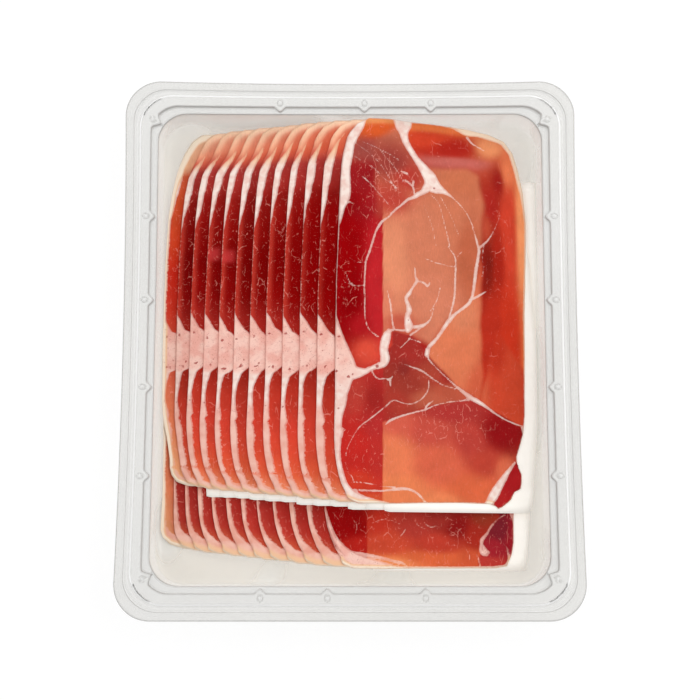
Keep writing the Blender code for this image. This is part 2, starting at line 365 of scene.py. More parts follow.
def sheet(name, node, look, grid, wander):
    """A thin sheet with a fine grid of faces over the outline and the lie of its solid."""
    columns, rows, crowding = grid
    drape = Drape(node)
    builder = bmesh.new()
    bmesh.ops.create_grid(builder, x_segments=columns, y_segments=rows, size=1.0)
    piece = finished(name, builder, look)
    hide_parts(node)
    mesh = piece.data
    spots = np.zeros(len(mesh.vertices) * 3, np.float32)
    mesh.vertices.foreach_get("co", spots)
    square = spots.reshape(-1, 3)[:, :2].astype(float)
    square[:, 0] = 2 * ((square[:, 0] + 1) / 2) ** crowding - 1
    half = (drape.high - drape.low) / 2
    spokes = square * half
    angles = np.arctan2(spokes[:, 1], spokes[:, 0])
    length = np.hypot(*spokes.T)
    edge = np.abs(square).max(1)
    uneven = random.Random(name)
    waves = [(uneven.uniform(3, 40), uneven.uniform(0, 6.3), uneven.uniform(0.3, 1))
             for _ in range(EDGE_WAVES)]
    wobble = sum(size * np.sin(angles * round(pace) + start) / math.sqrt(pace)
                 for pace, start, size in waves) * wander
    full = np.where(edge > 0, length / np.maximum(edge, 1e-9), 1.0)
    calm = drape.calm_reach(angles)
    out = (calm + (drape.reach(angles) - calm + wobble) * edge ** 5) / full
    place = drape.middle + spokes * out[:, None]
    height = drape.top(place[:, 0]) + common_lie(node, place)
    height -= 0.25 * drape.thickness * (edge > 0.9999)
    mesh.vertices.foreach_set("co", np.column_stack((place, height)).astype(np.float32).ravel())
    wall = piece.modifiers.new("Thickness", "SOLIDIFY")
    wall.thickness = drape.thickness
    wall.offset = -1.0
    return piece, drape, place


def common_lie(node, place):
    """What every sheet of a layer does alike: soft waves, and a dip past the layer beneath."""
    across, along = place[:, 0] / MM, place[:, 1] / MM
    waves = (0.16 * np.sin(across / 13 + along / 31) + 0.12 * np.sin(along / 17 - across / 29 + 1)
             + 0.08 * np.sin(along / 7.3 + across / 11))
    lie = waves * WAVE_HEIGHT
    if node.startswith("upper"):
        lie = lie - FAR_DIP * smoothstep(92, 128, along) * smoothstep(-95, -20, across)
    return lie


# ---- The view's rays --------------------------------------------------------------------

def on_height(pixels, height):
    """Where the view's rays through pixels meet a level, across and along, in metres."""
    pixels = np.asarray(pixels, float)
    upright = math.sqrt(1 - VIEW_LEAN ** 2)
    below = FLANGE_HEIGHT - height
    rise = VIEW_MIDDLE[1] - pixels[:, 1]
    along = ((rise * (VIEW_DISTANCE + below * upright) + VIEW_FOCAL * below * VIEW_LEAN)
             / (VIEW_FOCAL * upright - rise * VIEW_LEAN))
    depth = VIEW_DISTANCE + along * VIEW_LEAN + below * upright
    across = (pixels[:, 0] - VIEW_MIDDLE[0]) * depth / VIEW_FOCAL
    return np.column_stack((across, along))


def on_slice(pixels, drape):
    """Where the view's rays meet a draped slice, in millimetres from its left and near ends."""
    height = np.full(len(pixels), FLANGE_HEIGHT)
    for _ in range(RAY_ROUNDS):
        spots = on_height(pixels, height)
        height = drape.top(spots[:, 0])
    return local(spots, drape)


def local(place, drape):
    """Millimetres from a slice's left side, and from its near end on a full-length slice."""
    share = (place[:, 1] - drape.low[1]) / (drape.high[1] - drape.low[1])
    return np.column_stack(((place[:, 0] - drape.low[0]) / MM, share * FULL_LENGTH))


# ---- Anatomy ----------------------------------------------------------------------------
# Seams of fat on the whole slice, as pixels of the view: across, down, half width.

FAT_SEAMS = {
    "outer streak": ((362, 117, 4.5), (360, 125, 4.3), (354, 134, 5.2), (350.3, 143, 4.7),
        (348, 155, 5), (345.9, 167, 4.6), (345.2, 179, 5.2), (345.4, 188, 5.4), (344.6, 198, 5),
        (342.3, 206, 3.2), (341, 215, 1.9), (338.9, 225, 0.8)),
    "streak spur": ((349, 201.5, 0.9), (352.6, 203.2, 0.3)),
    "left edge": ((338.9, 225, 0.7), (337.5, 250, 0.6), (336, 290, 0.6), (335.9, 318, 0.7)),
    "gusset": ((403, 119, 9.5), (403.3, 124, 8.5), (403.5, 131, 5), (405.7, 141, 3.3),
        (411.5, 151.5, 3), (417.5, 160.5, 3.2), (424.5, 170, 5), (430, 178, 6.5), (433.5, 186, 7),
        (444, 191.6, 2.6), (453, 198, 0.5)),
    "gusset foot": ((428, 187, 5), (423, 192, 2.8), (418, 194.3, 2.4), (414, 197, 2),
        (407.3, 199.8, 1.2), (401.8, 204.6, 1), (394.9, 210.1, 0.9), (388.1, 217, 0.8),
        (381.2, 222.4, 1.2), (375.7, 232, 0.9), (373, 240.3, 1), (369.6, 251.2, 0.9),
        (366.1, 260.8, 0.8), (365, 271.8, 0.7), (364.5, 285.5, 0.7), (364.8, 302, 0.7),
        (365.7, 321, 0.6), (369.9, 330.2, 0.6), (378.3, 336.8, 0.8)),
    "gusset twig": ((414, 193.5, 0.9), (412.8, 186.8, 0.8), (405.2, 179.9, 0.9)),
    "gusset bud": ((412.8, 186.8, 0.6), (413.4, 181.3, 1.2)),
    "small bud": ((401, 171, 0.4), (405.9, 173.1, 1.3), (408, 174.5, 0.4)),
    "curl": ((345.6, 271.8, 0.25), (348, 278.7, 0.35), (353.8, 285.5, 0.5), (364.8, 285.5, 0.4)),
    "curl twig": ((344.5, 282, 0.2), (349.5, 284, 0.35), (353.8, 285.5, 0.3)),
    "round thread": ((431, 195, 0.5), (438.5, 203, 0.4), (444.5, 224, 0.4), (449.9, 246.9, 0.5)),
    "second round thread": ((440, 196, 0.4), (451, 216, 0.3), (459, 236, 0.3)),
    "third round thread": ((424, 205, 0.3), (432, 226, 0.3), (436, 246, 0.3)),
    "near thread": ((440, 288, 0.3), (437, 300, 0.4), (430, 312, 0.3)),
    "far thread": ((449, 194, 0.5), (458, 203, 0.5), (466.9, 213.8, 0.4), (474, 230, 0.5),
        (478, 245, 0.6)),
    "cross thread": ((455.5, 266.7, 0.5), (446, 265.5, 0.35), (434, 262, 0.4), (424.3, 258.2, 0.3)),
    "side thread": ((484.6, 244, 0.3), (482.5, 254, 0.4), (483.6, 268, 0.3), (482, 277, 0.3)),
    "fork thread": ((492, 234, 0.3), (496, 226, 0.25), (500, 215, 0.2)),
    "first strand": ((354, 142, 0.4), (364, 149, 0.5), (376, 159, 0.4), (386, 172, 0.4), (396, 190, 0.5)),
    "second strand": ((362, 141, 0.4), (374, 146, 0.5), (388, 153, 0.4), (399, 160, 0.5)),
    "third strand": ((355, 156, 0.5), (366, 163, 0.5), (375, 169, 0.6), (384, 178, 0.5),
        (397, 187.5, 0.5)),
    "fourth strand": ((362, 176, 0.4), (370, 183, 0.6), (377, 191, 0.5), (390, 206, 0.5)),
    "fifth strand": ((379, 148, 0.4), (387, 158, 0.5), (396, 169, 0.4), (403, 181, 0.5)),
    "left thread foot": ((365.7, 262, 0.3), (357, 262, 0.2), (350, 258, 0.3)),
    "far rim": ((456, 129.6, 0.8), (467, 133, 3), (478, 134.2, 2.8), (490, 138, 2.4), (502, 143, 1.6),
        (509, 148, 1)),
    "far rim spur": ((467, 137, 1.2), (472.4, 143.6, 0.8), (484.1, 150.4, 0.4)),
    "right fork": ((472.4, 229.3, 0.4), (478.6, 248.5, 1.1), (477.9, 258, 1.4), (475.8, 271.8, 1.6),
        (473.8, 288.3, 1.4), (471.7, 297.9, 1.4), (467.6, 304.7, 1.5), (456.6, 313, 1.3),
        (449.9, 319.5, 2), (444.3, 327.4, 1.8), (437.3, 337.9, 1.5), (429.5, 346.3, 2)),
    "right fork arm": ((478.6, 248.5, 1), (486.8, 241.6, 0.9), (492.3, 234, 0.5)),
    "right fork side": ((470, 300, 1.2), (477.2, 296.8, 1.1), (486.8, 291, 0.4)),
    "knot": ((427.6, 350, 2.4), (426.7, 354.5, 2.2)),
    "long seam": ((427.6, 355, 1.2), (429.5, 360.3, 0.8), (441.5, 373, 0.6), (455.5, 385.6, 0.9),
        (469.5, 396.8, 2.2), (479.4, 402.4, 2), (487.8, 408.1, 1.2), (497.6, 415.1, 0.8),
        (507.4, 420.7, 0.6), (521, 426.3, 0.7)),
    "inner thread": ((448.4, 247.1, 0.4), (455.3, 258.1, 0.5), (455.3, 274.5, 0.9), (454.6, 295.1, 0.9),
        (451.8, 308.8, 0.8), (449.1, 318, 0.8)),
    "inner thread arm": ((462.1, 251.2, 0.3), (455.6, 259, 0.3)),
    "star top": ((414.8, 267.7, 0.4), (415.5, 277.3, 0.9), (416.9, 280.7, 1.4), (411.4, 289.6, 1),
        (409.3, 293.7, 1.9), (405.9, 298.5, 1.5), (408, 304.7, 2.1), (409.3, 310.2, 2.7),
        (407.3, 315.7, 2.4), (408, 322, 3.6), (408.8, 326, 4.2), (407.8, 330.2, 2.6)),
    "star arm": ((416.9, 280.7, 1), (423.7, 282.8, 0.9), (427.8, 286.2, 1.1), (429.9, 282.1, 0.4)),
    "star foot": ((407.8, 330.6, 1), (399.4, 330.2, 0.8), (393.8, 329.5, 0.8), (388.9, 331.5, 2)),
    "star side": ((411, 327, 1.5), (419, 326.7, 1.8), (424.6, 324.6, 1.3), (430.2, 319.6, 0.5),
        (433.8, 308.4, 0.4)),
    "star back": ((410.4, 335, 0.9), (418, 330, 0.7), (424.6, 324.6, 0.6)),
    "left thread": ((387.4, 291, 0.5), (390.8, 306.1, 0.8), (392.2, 321.2, 0.8), (393.8, 328, 0.7)),
    "bone fat": ((388.9, 331, 2.4), (386.7, 336.5, 4.2), (384.6, 343.5, 4.5), (383.9, 350.5, 4.1),
        (385, 358, 4.6), (382.5, 364.2, 3.6), (372.7, 367.6, 2.2), (365.7, 371.2, 3)),
    "bone ring": ((372, 369.5, 0.6), (373.4, 374.4, 0.6), (378.3, 378.6, 0.7), (384.5, 378.3, 0.6)),
    "heel fat": ((336.3, 317, 0.6), (338, 330, 3), (340, 343, 6), (342, 355, 9), (344.5, 366, 11),
        (350, 371.6, 8), (358, 372.5, 5.3), (366, 371.5, 2.5)),
    "heel fat tail": ((344, 374, 10), (342, 384, 8.6), (340, 393, 7.4), (339.6, 402, 6.8),
        (338, 413, 5.2), (337.4, 423, 4.2), (337.2, 430, 4.4), (336.8, 440, 4.2), (336.6, 455, 3.9),
        (338.4, 468, 4), (342, 482, 4.4), (347, 491, 5), (356, 497.5, 4.8), (370, 501.5, 3.4),
        (388, 504, 1.6)),
    "tooth": ((341, 427.6, 1.2), (343.5, 429.2, 0.9), (345.8, 430, 0.3)),
    "lower tooth": ((341, 430, 1.8), (342, 434, 1.2), (341, 438, 0.6)),
    "foot seam": ((350, 489.6, 0.8), (367.1, 490.6, 0.9), (383.9, 490.6, 0.8), (400.8, 488.7, 1.5),
        (409.2, 489.4, 1.2), (417.6, 493.7, 0.9), (425.6, 502.5, 0.9)),
    "foot thread": ((352, 482.4, 0.4), (361.5, 482.4, 0.5), (381, 486, 0.3), (395, 487.3, 0.4)),
    "tip thread": ((400, 348.4, 0.3), (410.6, 337.9, 0.4)),
    "tip bits": ((409.2, 338.4, 0.7), (414, 340, 0.4), (420.4, 342.1, 0.7)),
    "tip seam": ((405, 364.6, 0.3), (421.8, 370.9, 0.9), (434.5, 380, 0.6), (444.3, 385.6, 0.5),
        (459.7, 389.8, 0.5)),
    "hoop": ((428.8, 380, 0.3), (428.1, 389.8, 0.5), (421.8, 398.9, 0.5), (412, 403.8, 0.5),
        (403.6, 403.1, 0.4), (393.1, 400.3, 0.6), (385.3, 406.7, 0.5), (371.3, 417.9, 0.5),
        (360.1, 426.3, 0.4), (351.7, 438.9, 0.3), (346.1, 453, 0.3), (347.5, 468.4, 0.3),
        (355.2, 482.4, 0.3)),
    "belly seam": ((469, 400, 1.1), (465.3, 400.3, 0.8), (451.3, 401.7, 0.5), (434.5, 405.5, 0.4),
        (426, 409.5, 0.7), (414.8, 412.3, 0.6), (402.2, 415.8, 0.8), (391, 420, 1.1),
        (385.3, 424.9, 0.5)),
    "belly twig": ((433, 401, 0.3), (427.5, 405, 0.9), (425, 409, 0.4)),
    "cross": ((385.5, 378.6, 0.5), (389.5, 379.6, 1), (392.4, 376.5, 0.5)),
    "cross foot": ((390, 379.5, 1.2), (390.6, 386, 0.5)),
    "shank fat": ((515, 462.5, 0.9), (508, 472, 2.2), (501, 483, 3.6), (494, 495, 4.6), (488, 505, 3.4)),
    "right edge fat": ((521.5, 426.5, 0.8), (524, 434, 1.6), (523.3, 445, 1.2), (520.5, 455, 1.4),
        (518, 462, 1.1)),
}

# Red-brown dots in the heel's fat, as pixels of the view: across, down, radius.
FAT_DOTS = ((434, 188.4, 0.9), (338.8, 336.4, 1.1), (338.4, 408.2, 0.9), (348.2, 376.5, 1.3),
    (341.5, 348.5, 0.5), (344.3, 361.2, 0.5), (337.8, 358, 0.6), (340.4, 385, 0.5), (408.2, 319.6, 0.8),
    (427.3, 350, 0.5), (350.2, 362.8, 0.6), (341, 440, 0.4), (377, 366, 1.5), (379, 361, 0.9),
    (352.5, 374, 0.8), (336.5, 371, 1.2))

# Lean: where each tone sits, how far it reaches across and down, and the tone as it shows.
LEAN_TONES = {
    "rump": ((345, 250, 30, 70, (145, 3, 6)), (372, 285, 12, 50, (190, 28, 36)),
        (352, 290, 16, 40, (150, 2, 8)), (372, 350, 13, 12, (224, 84, 62)),
        (366, 322, 16, 14, (183, 28, 34)), (360, 178, 22, 16, (155, 28, 32)),
        # The rump's tone at (366, 150) is a painted soft highlight, mauve, where the layer bends.
        (366, 150, 26, 10, (160, 72, 64)), (384, 128, 26, 8, (217, 90, 42)),
        (374, 119, 30, 5, (238, 150, 92)), (374, 215, 10, 22, (168, 34, 38)),
        (345, 140, 10, 14, (200, 100, 66))),
    "round": ((392, 200, 18, 14, (190, 66, 54)), (392, 163, 16, 12, (158, 62, 54)),
        (408, 178, 14, 12, (182, 58, 48)), (395, 262, 16, 44, (229, 142, 106)),
        (425, 240, 26, 40, (210, 123, 92)), (455, 215, 20, 30, (206, 118, 86)),
        (425, 300, 30, 24, (214, 127, 97)), (458, 185, 18, 14, (203, 112, 78)),
        (400, 322, 16, 10, (198, 88, 68)), (468, 250, 12, 46, (190, 98, 68)),
        (388, 300, 8, 20, (222, 128, 98))),
    "cap": ((428, 138, 22, 9, (209, 66, 40)), (455, 148, 26, 9, (176, 36, 26)),
        # The cap's tone at (456, 162) is a painted highlight along the fold.
        (436, 128, 34, 5, (230, 118, 66)), (456, 162, 24, 4, (196, 100, 90)),
        (488, 148, 14, 8, (236, 148, 100)), (499, 182, 7, 18, (156, 24, 22)),
        (492, 208, 7, 16, (172, 38, 30)), (485, 228, 6, 14, (192, 76, 52)),
        (488, 266, 8, 30, (130, 28, 18)), (499, 264, 8, 34, (170, 36, 22)),
        (509, 235, 9, 60, (212, 66, 44)), (522, 230, 6, 80, (255, 160, 106)),
        (510, 335, 13, 60, (205, 54, 30)), (494, 330, 10, 40, (184, 46, 28)),
        (508, 172, 9, 18, (238, 128, 84)), (525, 350, 4, 60, (228, 108, 62)),
        (515, 395, 12, 18, (219, 91, 51))),
    "silverside": ((445, 345, 16, 20, (220, 121, 84)), (465, 350, 14, 30, (219, 119, 82)),
        (478, 385, 10, 22, (208, 94, 64)), (505, 388, 16, 22, (203, 70, 44)),
        (462, 320, 12, 18, (221, 131, 95)), (495, 345, 9, 40, (190, 52, 31))),
    "point": ((410, 350, 16, 14, (164, 46, 40)), (406, 384, 14, 12, (160, 56, 44)),
        (432, 372, 14, 10, (172, 66, 50)), (450, 392, 16, 6, (187, 85, 62)),
        (395, 398, 14, 8, (174, 58, 46)), (372, 400, 12, 14, (170, 42, 38)),
        (355, 395, 10, 16, (188, 62, 52)), (428, 398, 16, 6, (190, 92, 68)),
        (404, 368, 6, 10, (140, 44, 38)), (446, 368, 8, 12, (160, 30, 30))),
    "belly": ((398, 424, 12, 10, (214, 94, 74)), (500, 432, 18, 18, (146, 16, 20)),
        (452, 414, 26, 8, (174, 52, 48)), (430, 432, 22, 14, (200, 78, 64)),
        (470, 440, 16, 16, (186, 64, 54)), (396, 458, 18, 20, (232, 124, 84)),
        (436, 464, 22, 18, (218, 100, 72)), (484, 462, 14, 12, (190, 66, 50)),
        (470, 492, 24, 14, (218, 100, 64)), (504, 470, 8, 10, (222, 108, 76)),
        (400, 488, 24, 14, (232, 128, 82)), (440, 500, 30, 8, (232, 130, 84))),
    "shank": ((510, 478, 10, 14, (172, 28, 32)), (500, 496, 6, 8, (180, 36, 36))),
}

# What divides the lean: a slice is "rump" until a border says otherwise. Each muscle is a
# closed border in pixels of the view, and how soft the border is in millimetres.
MUSCLES = {
    "round": (2.6, ((376, 140), (396, 126), (411, 148), (417, 160), (428, 166), (448, 167), (466, 168),
        (479, 175), (484, 205), (482, 250), (472, 300), (449, 320), (430, 345), (412, 336), (393, 330),
        (376, 345), (366, 320), (365, 270), (376, 232))),
    "cap": (2.6, ((403, 112), (411, 150), (417, 161), (430, 167), (450, 168), (468, 169), (479, 176),
        (484, 205), (480, 330), (478, 402), (522, 428), (560, 428), (560, 112))),
    "silverside": (1.6, ((470, 300), (481, 262), (482, 405), (521, 427), (560, 427), (497, 330),
        (480, 402), (456, 386), (428, 357), (430, 345), (449, 320))),
    "point": (0.5, ((412, 336), (427, 354), (456, 386), (480, 402), (434, 405), (391, 420), (340, 452),
        (335, 380), (366, 372), (392, 345), (393, 330))),
    "belly": (0.5, ((391, 420), (434, 405), (469, 399), (480, 402), (521, 427), (530, 440), (520, 462),
        (486, 506), (330, 520), (330, 440), (356, 430))),
    "shank": (0.4, ((516, 462), (487, 506), (487, 520), (540, 520), (540, 462))),
}

# Left of this line no paper lies close under the slice, so the lean is darker and redder.
BACKED_FROM = 383                # pixels of the view
UNBACKED_TONES = ((345, 250, 24, 60, (152, 2, 6)), (374, 280, 12, 60, (194, 36, 42)),
    (352, 295, 14, 36, (138, 1, 6)), (368, 350, 12, 12, (220, 78, 58)),
    (360, 324, 12, 12, (176, 24, 30)), (362, 205, 20, 16, (150, 22, 28)),
    (355, 395, 12, 16, (186, 60, 50)), (374, 402, 10, 16, (160, 38, 34)),
    (374, 425, 10, 14, (186, 48, 46)), (358, 450, 14, 26, (196, 42, 36)),
    (376, 455, 8, 20, (190, 48, 42)), (358, 480, 14, 10, (205, 60, 40)),
    (360, 500, 20, 5, (214, 84, 50)))

# Where flecks of fat crowd: across, down, reach across and down, and how much.
FLECKED = ((385, 180, 34, 46, 1.0), (350, 285, 14, 46, 0.8), (440, 425, 56, 26, 0.9),
    (412, 365, 26, 26, 0.6), (366, 440, 20, 40, 0.7), (455, 150, 40, 14, 0.5), (500, 240, 10, 60, 0.5))
LOWER_FLECKS = 0.5

# Where the fat is the heel's, rosy and freckled, in the same way.
HEEL = ((344, 350, 22, 34, 1.0), (342, 440, 22, 50, 0.45))
LOWER_HEEL = 0.9

# What shows of the lower layer's whole slice, in the same ways.
LOWER_SEAMS = {
    "edge strip": ((322, 500, 2.4), (324.5, 512, 2.4), (328, 522, 2.2), (332, 532, 2.2),
        (336, 540, 2.7), (342, 548, 3.4), (350, 555, 4.2), (362, 560, 3.8), (376, 563, 2.8),
        (392, 566, 1.6)),
    "foot seam": ((339, 549, 1.2), (352, 552.5, 1.4), (364, 554.5, 1.7), (376, 557, 1.8),
        (386, 559, 1.4), (393, 561, 1.2), (399, 563.5, 0.8)),
    "near round": ((505.7, 514.8, 0.3), (498, 519, 0.6), (490.8, 527, 0.9), (487, 534, 1.2),
        (482, 539.6, 1.8), (481.5, 545, 1.5), (480.8, 549.6, 1.6), (483, 553, 2.4), (487, 555, 1.2)),
    "near corner": ((334, 548, 2.0), (341, 557, 4.6), (350, 563, 5.2), (362, 567, 5.4), (378, 569, 5.0),
        (396, 570, 4.2), (410, 570, 3.0), (426, 569, 2.0)),
    "near round bits": ((483, 546, 1.2), (485.5, 551, 2.2), (489, 552.5, 1.0)),
    "nick": ((507, 552, 0.4), (509.5, 557, 1.6), (508, 561, 0.6)),
    "first hair": ((352, 517, 0.2), (357, 526, 0.3), (355, 534, 0.2)),
    "second hair": ((414, 519, 0.2), (419, 526, 0.3), (428, 530, 0.2)),
    "third hair": ((452, 524, 0.2), (461, 532, 0.3), (468, 543, 0.25)),
    "fourth hair": ((497, 536, 0.25), (503, 543, 0.3), (509, 551, 0.4)),
    "right rim": ((510, 513, 1.0), (513, 520, 1.0), (514, 528, 0.4)),
    "tail seam": ((477, 555, 0.3), (479, 561, 0.7), (480, 566, 0.5)),
    "foot bits": ((396, 561, 0.8), (402, 563, 1.1), (407, 565.5, 0.6)),
    "thread": ((424, 522, 0.4), (430, 527, 0.6), (436, 526, 0.4)),
    "long thread": ((400, 537, 0.3), (406, 529, 0.4)),
    "near thread": ((462, 545, 0.3), (468, 552, 0.4), (470, 560, 0.3)),
    "left thread": ((372, 523, 0.3), (386, 519, 0.4), (400, 524, 0.3)),
}
LOWER_TONES = {
    "belly": ((345, 520, 20, 20, (150, 14, 14)), (378, 524, 14, 14, (196, 54, 38)),
        (388, 542, 22, 14, (202, 72, 48)), (412, 526, 20, 14, (178, 58, 48)),
        (438, 520, 18, 12, (158, 48, 40)), (456, 528, 14, 12, (136, 20, 20)),
        (474, 538, 9, 12, (166, 42, 30)), (481, 518, 8, 7, (148, 52, 34)),
        (438, 544, 22, 12, (190, 60, 44)), (430, 558, 40, 7, (218, 98, 58)),
        (390, 562, 30, 6, (234, 140, 86)), (470, 558, 12, 8, (206, 84, 52)),
        (400, 300, 90, 90, (176, 40, 34))),
    "near round": ((500, 530, 10, 10, (122, 30, 40)), (494, 548, 8, 8, (162, 34, 44)),
        (511, 540, 5, 16, (152, 26, 36)), (490, 562, 12, 4, (188, 58, 50))),
}
LOWER_MUSCLES = {
    "near round": (0.4, ((496, 505), (560, 505), (560, 575), (478, 575), (481, 555), (482, 540),
        (490, 527), (499, 518))),
}
LOWER_UNBACKED = ((342, 518, 16, 18, (148, 8, 10)), (356, 546, 12, 7, (178, 34, 26)))

# Each layer's anatomy, and where its papers' left edge shows: across, from row to row.
ANATOMIES = {
    "upper": (FAT_SEAMS, FAT_DOTS, LEAN_TONES, "rump", MUSCLES, (BACKED_FROM, 200, 500), UNBACKED_TONES),
    "lower": (LOWER_SEAMS, (), LOWER_TONES, "belly", LOWER_MUSCLES, (367, 505, 562), LOWER_UNBACKED),
}

NO_SEAM = 9.0                    # millimetres; no farther seam or stain is felt
STEP_SPAN = (340, 520)           # pixels of the view over which its step is measured
STEP_ROW = 300
SWAY = 0.35                      # millimetres by which the muscles' borders sway


def curved(points):
    """A smooth line through the points, with three parts for each of theirs."""
    if len(points) < 3:
        return points
    before = np.vstack((2 * points[:1] - points[1:2], points[:-1]))[:-1]
    after = np.vstack((points[1:], 2 * points[-1:] - points[-2:-1]))[1:]
    start, end = points[:-1], points[1:]
    parts = []
    for share in (0, 1 / 3, 2 / 3):
        parts.append(0.5 * (2 * start + (end - before) * share
                            + (2 * before - 5 * start + 4 * end - after) * share ** 2
                            + (3 * start - before - 3 * end + after) * share ** 3))
    line = np.stack(parts, 1).reshape(-1, points.shape[1])
    return np.vstack((line, points[-1:]))


def seam_depth(spots, seams, drape):
    """Distance in millimetres from the nearest seam's edge, less than nothing inside it."""
    nearest = np.full(len(spots), NO_SEAM)
    step = view_step(drape)
    for points in seams:
        points = curved(np.array(points, float))
        line = on_slice(points[:, :2], drape)
        halves = points[:, 2] * step
        for start, end, wide, narrow in zip(line, line[1:], halves, halves[1:]):
            share, gap = straight_gap(spots, start, end)
            nearest = np.minimum(nearest, gap - (wide + (narrow - wide) * share))
    return nearest


def view_step(drape):
    """Millimetres for a pixel of the view, on the top slice."""
    left, right = STEP_SPAN
    pair = on_slice(((left, STEP_ROW), (right, STEP_ROW)), drape)
    return (pair[1, 0] - pair[0, 0]) / (right - left)


def border_depth(spots, border, drape):
    """Distance in millimetres to a closed border, more than nothing inside it."""
    corners = on_slice(border, drape)
    inside = np.zeros(len(spots), bool)
    nearest = np.full(len(spots), np.inf)
    for start, end in zip(corners, np.roll(corners, -1, 0)):
        nearest = np.minimum(nearest, straight_gap(spots, start, end)[1])
        crosses = (start[1] > spots[:, 1]) != (end[1] > spots[:, 1])
        rise = np.where(end[1] == start[1], 1e-9, end[1] - start[1])
        left = spots[:, 0] < start[0] + (spots[:, 1] - start[1]) / rise * (end[0] - start[0])
        inside ^= crosses & left
    return np.where(inside, nearest, -nearest)


def tone_of(spots, tones, drape):
    """The lean's colour from the tones that reach a spot."""
    step = view_step(drape)
    total = np.zeros((len(spots), 3))
    weights = np.full(len(spots), 1e-9)
    for across, down, wide, tall, shown in tones:
        middle = on_slice(((across, down),), drape)[0]
        gap = (spots - middle) / (wide * step, tall * step)
        weight = 1 / (0.30 + (gap ** 2).sum(1)) ** 2.3
        total += weight[:, None] * np.array(linear(*shown))
        weights += weight
    return total / weights[:, None]


def share_near(spots, places, drape):
    """How much of each place's amount is felt at a spot; the greatest of them."""
    step = view_step(drape)
    felt = np.zeros(len(spots))
    for across, down, wide, tall, amount in places:
        middle = on_slice(((across, down),), drape)[0]
        gap = (spots - middle) / (wide * step, tall * step)
        felt = np.maximum(felt, amount * np.exp(-(gap ** 2).sum(1)))
    return felt


def blended(lean, tone, share):
    """The lean, turned to a tone by a share at each spot."""
    return lean + (tone - lean) * share[:, None]


def whole_slice_look(spots, layer, guide):
    """Fat depth, lean, distance to blood, heel and flecks of the slice that lies whole."""
    seams, dots, tones, ground, muscles, (line, far, near), unbacked = ANATOMIES[layer]
    swayed = spots + np.column_stack((np.sin(spots[:, 1] / 3.1) + np.sin(spots[:, 1] / 7.7 + 1),
                                      np.sin(spots[:, 0] / 4.3))) * SWAY
    fat = seam_depth(spots, seams.values(), guide)
    lean = tone_of(spots, tones[ground], guide)
    for name, (softness, border) in muscles.items():
        share = smoothstep(-softness, softness, border_depth(swayed, border, guide))
        lean = blended(lean, tone_of(spots, tones[name], guide), share)
    ends = on_slice(((line, near), (line, far)), guide)
    paper_edge = np.interp(spots[:, 1], ends[:, 1], ends[:, 0])
    paper_far = ends[1, 1]
    left = smoothstep(0.3, -0.3, spots[:, 0] - paper_edge)
    left = left * smoothstep(paper_far + 6, paper_far - 14, spots[:, 1])
    lean = blended(lean, tone_of(spots, unbacked, guide), left)
    stain = seam_depth(spots, [((x, y, size), (x + 0.3, y + 0.2, size)) for x, y, size in dots], guide)
    if layer == "lower":
        return fat, lean, stain, np.full(len(spots), LOWER_HEEL), np.full(len(spots), LOWER_FLECKS)
    return fat, lean, stain, share_near(spots, HEEL, guide), share_near(spots, FLECKED, guide)


# ---- Strips: what shows of the slices under the top one ---------------------------------
# Rows are pixels of the view down the top slice; depths are pixels in from the outline.

ROW_FAR, ROW_NEAR = 117.0, 505.0

# How deep the streak of fat starts and ends at each row.
STREAK_STARTS = ((136, 8.0), (146, 5.0), (155, 2.0), (161, 0.4), (166, -1))
STREAK_ENDS = ((136, 8.0), (146, 8.6), (156, 8.6), (165, 8.4), (176, 8.2), (184, 7.8), (187, 6.6),
    (200, 5.2), (210, 3.6), (218, 2.0), (226, 0.25), (317, 0.25), (325, 6.0), (335, 12.5), (340, 18),
    (371, 19), (375, 13.5), (380, 8.8), (390, 5.8), (402, 4.6), (410, 5.0), (417, 6.4), (424, 7.8),
    (428, 5.4), (433, 7.0), (442, 7.8), (456, 7.4), (474, 7.2), (482, 7.8), (488, 9.6), (505, 9.6))
LOWER_ENDS = ((117, 0.7), (420, 3.4), (452, 4.6), (474, 5.0), (482, 6.5), (487, 9.6), (492, 12.5),
    (505, 13.0))

# The lean at each row, as it shows; rows 160 to 184 are the lean's red with a painted soft highlight,
# mauve, where the layer bends.
STRIP_TONES = ((117, (253, 212, 182)), (128, (251, 202, 168)), (142, (244, 170, 136)),
    (150, (216, 108, 86)), (160, (174, 66, 60)), (184, (166, 50, 44)), (194, (150, 30, 24)),
    (224, (140, 14, 10)), (262, (128, 2, 2)), (300, (140, 10, 8)), (326, (168, 44, 36)),
    (374, (164, 46, 32)), (404, (192, 58, 42)), (432, (212, 68, 50)), (456, (220, 78, 54)),
    (478, (222, 96, 62)), (492, (232, 132, 92)))
LOWER_STRIP_TONES = ((117, (150, 24, 20)), (400, (158, 42, 36)), (455, (176, 54, 46)),
    (475, (190, 64, 52)), (487, (204, 92, 66)), (505, (222, 134, 98)))
FIRST_TONES = ((117, (253, 226, 188)), (150, (248, 212, 168)), (162, (206, 100, 66)),
    (190, (206, 88, 48)), (240, (210, 70, 38)), (270, (200, 44, 28)), (310, (196, 56, 38)),
    (380, (214, 104, 76)), (440, (226, 132, 92)), (505, (238, 180, 130)))

# Tones laid over the rows' own.
CAP_SHADE_TONE = linear(214, 88, 56)    # painted shade: near the far end, darker towards each strip's right
DEEP_TONE = linear(138, 0, 2)     # of the last strips
LIT_EDGE_TONE = linear(200, 62, 48)   # painted light: each strip lighter along its left edge
SHINE_TONE = linear(206, 62, 62)
SHINY = (4, 5)                    # strips with a gleam half-way down
SHINE_ROW = 254
SHINE_REACH = 7                   # rows to either side of it
DEEP_NUMBERS = (7.5, 10.5)        # strips between which the deep tone comes in
SHADE = (0.18, 0.45, 0.45)        # how much less red, green and blue in the next strip's shade

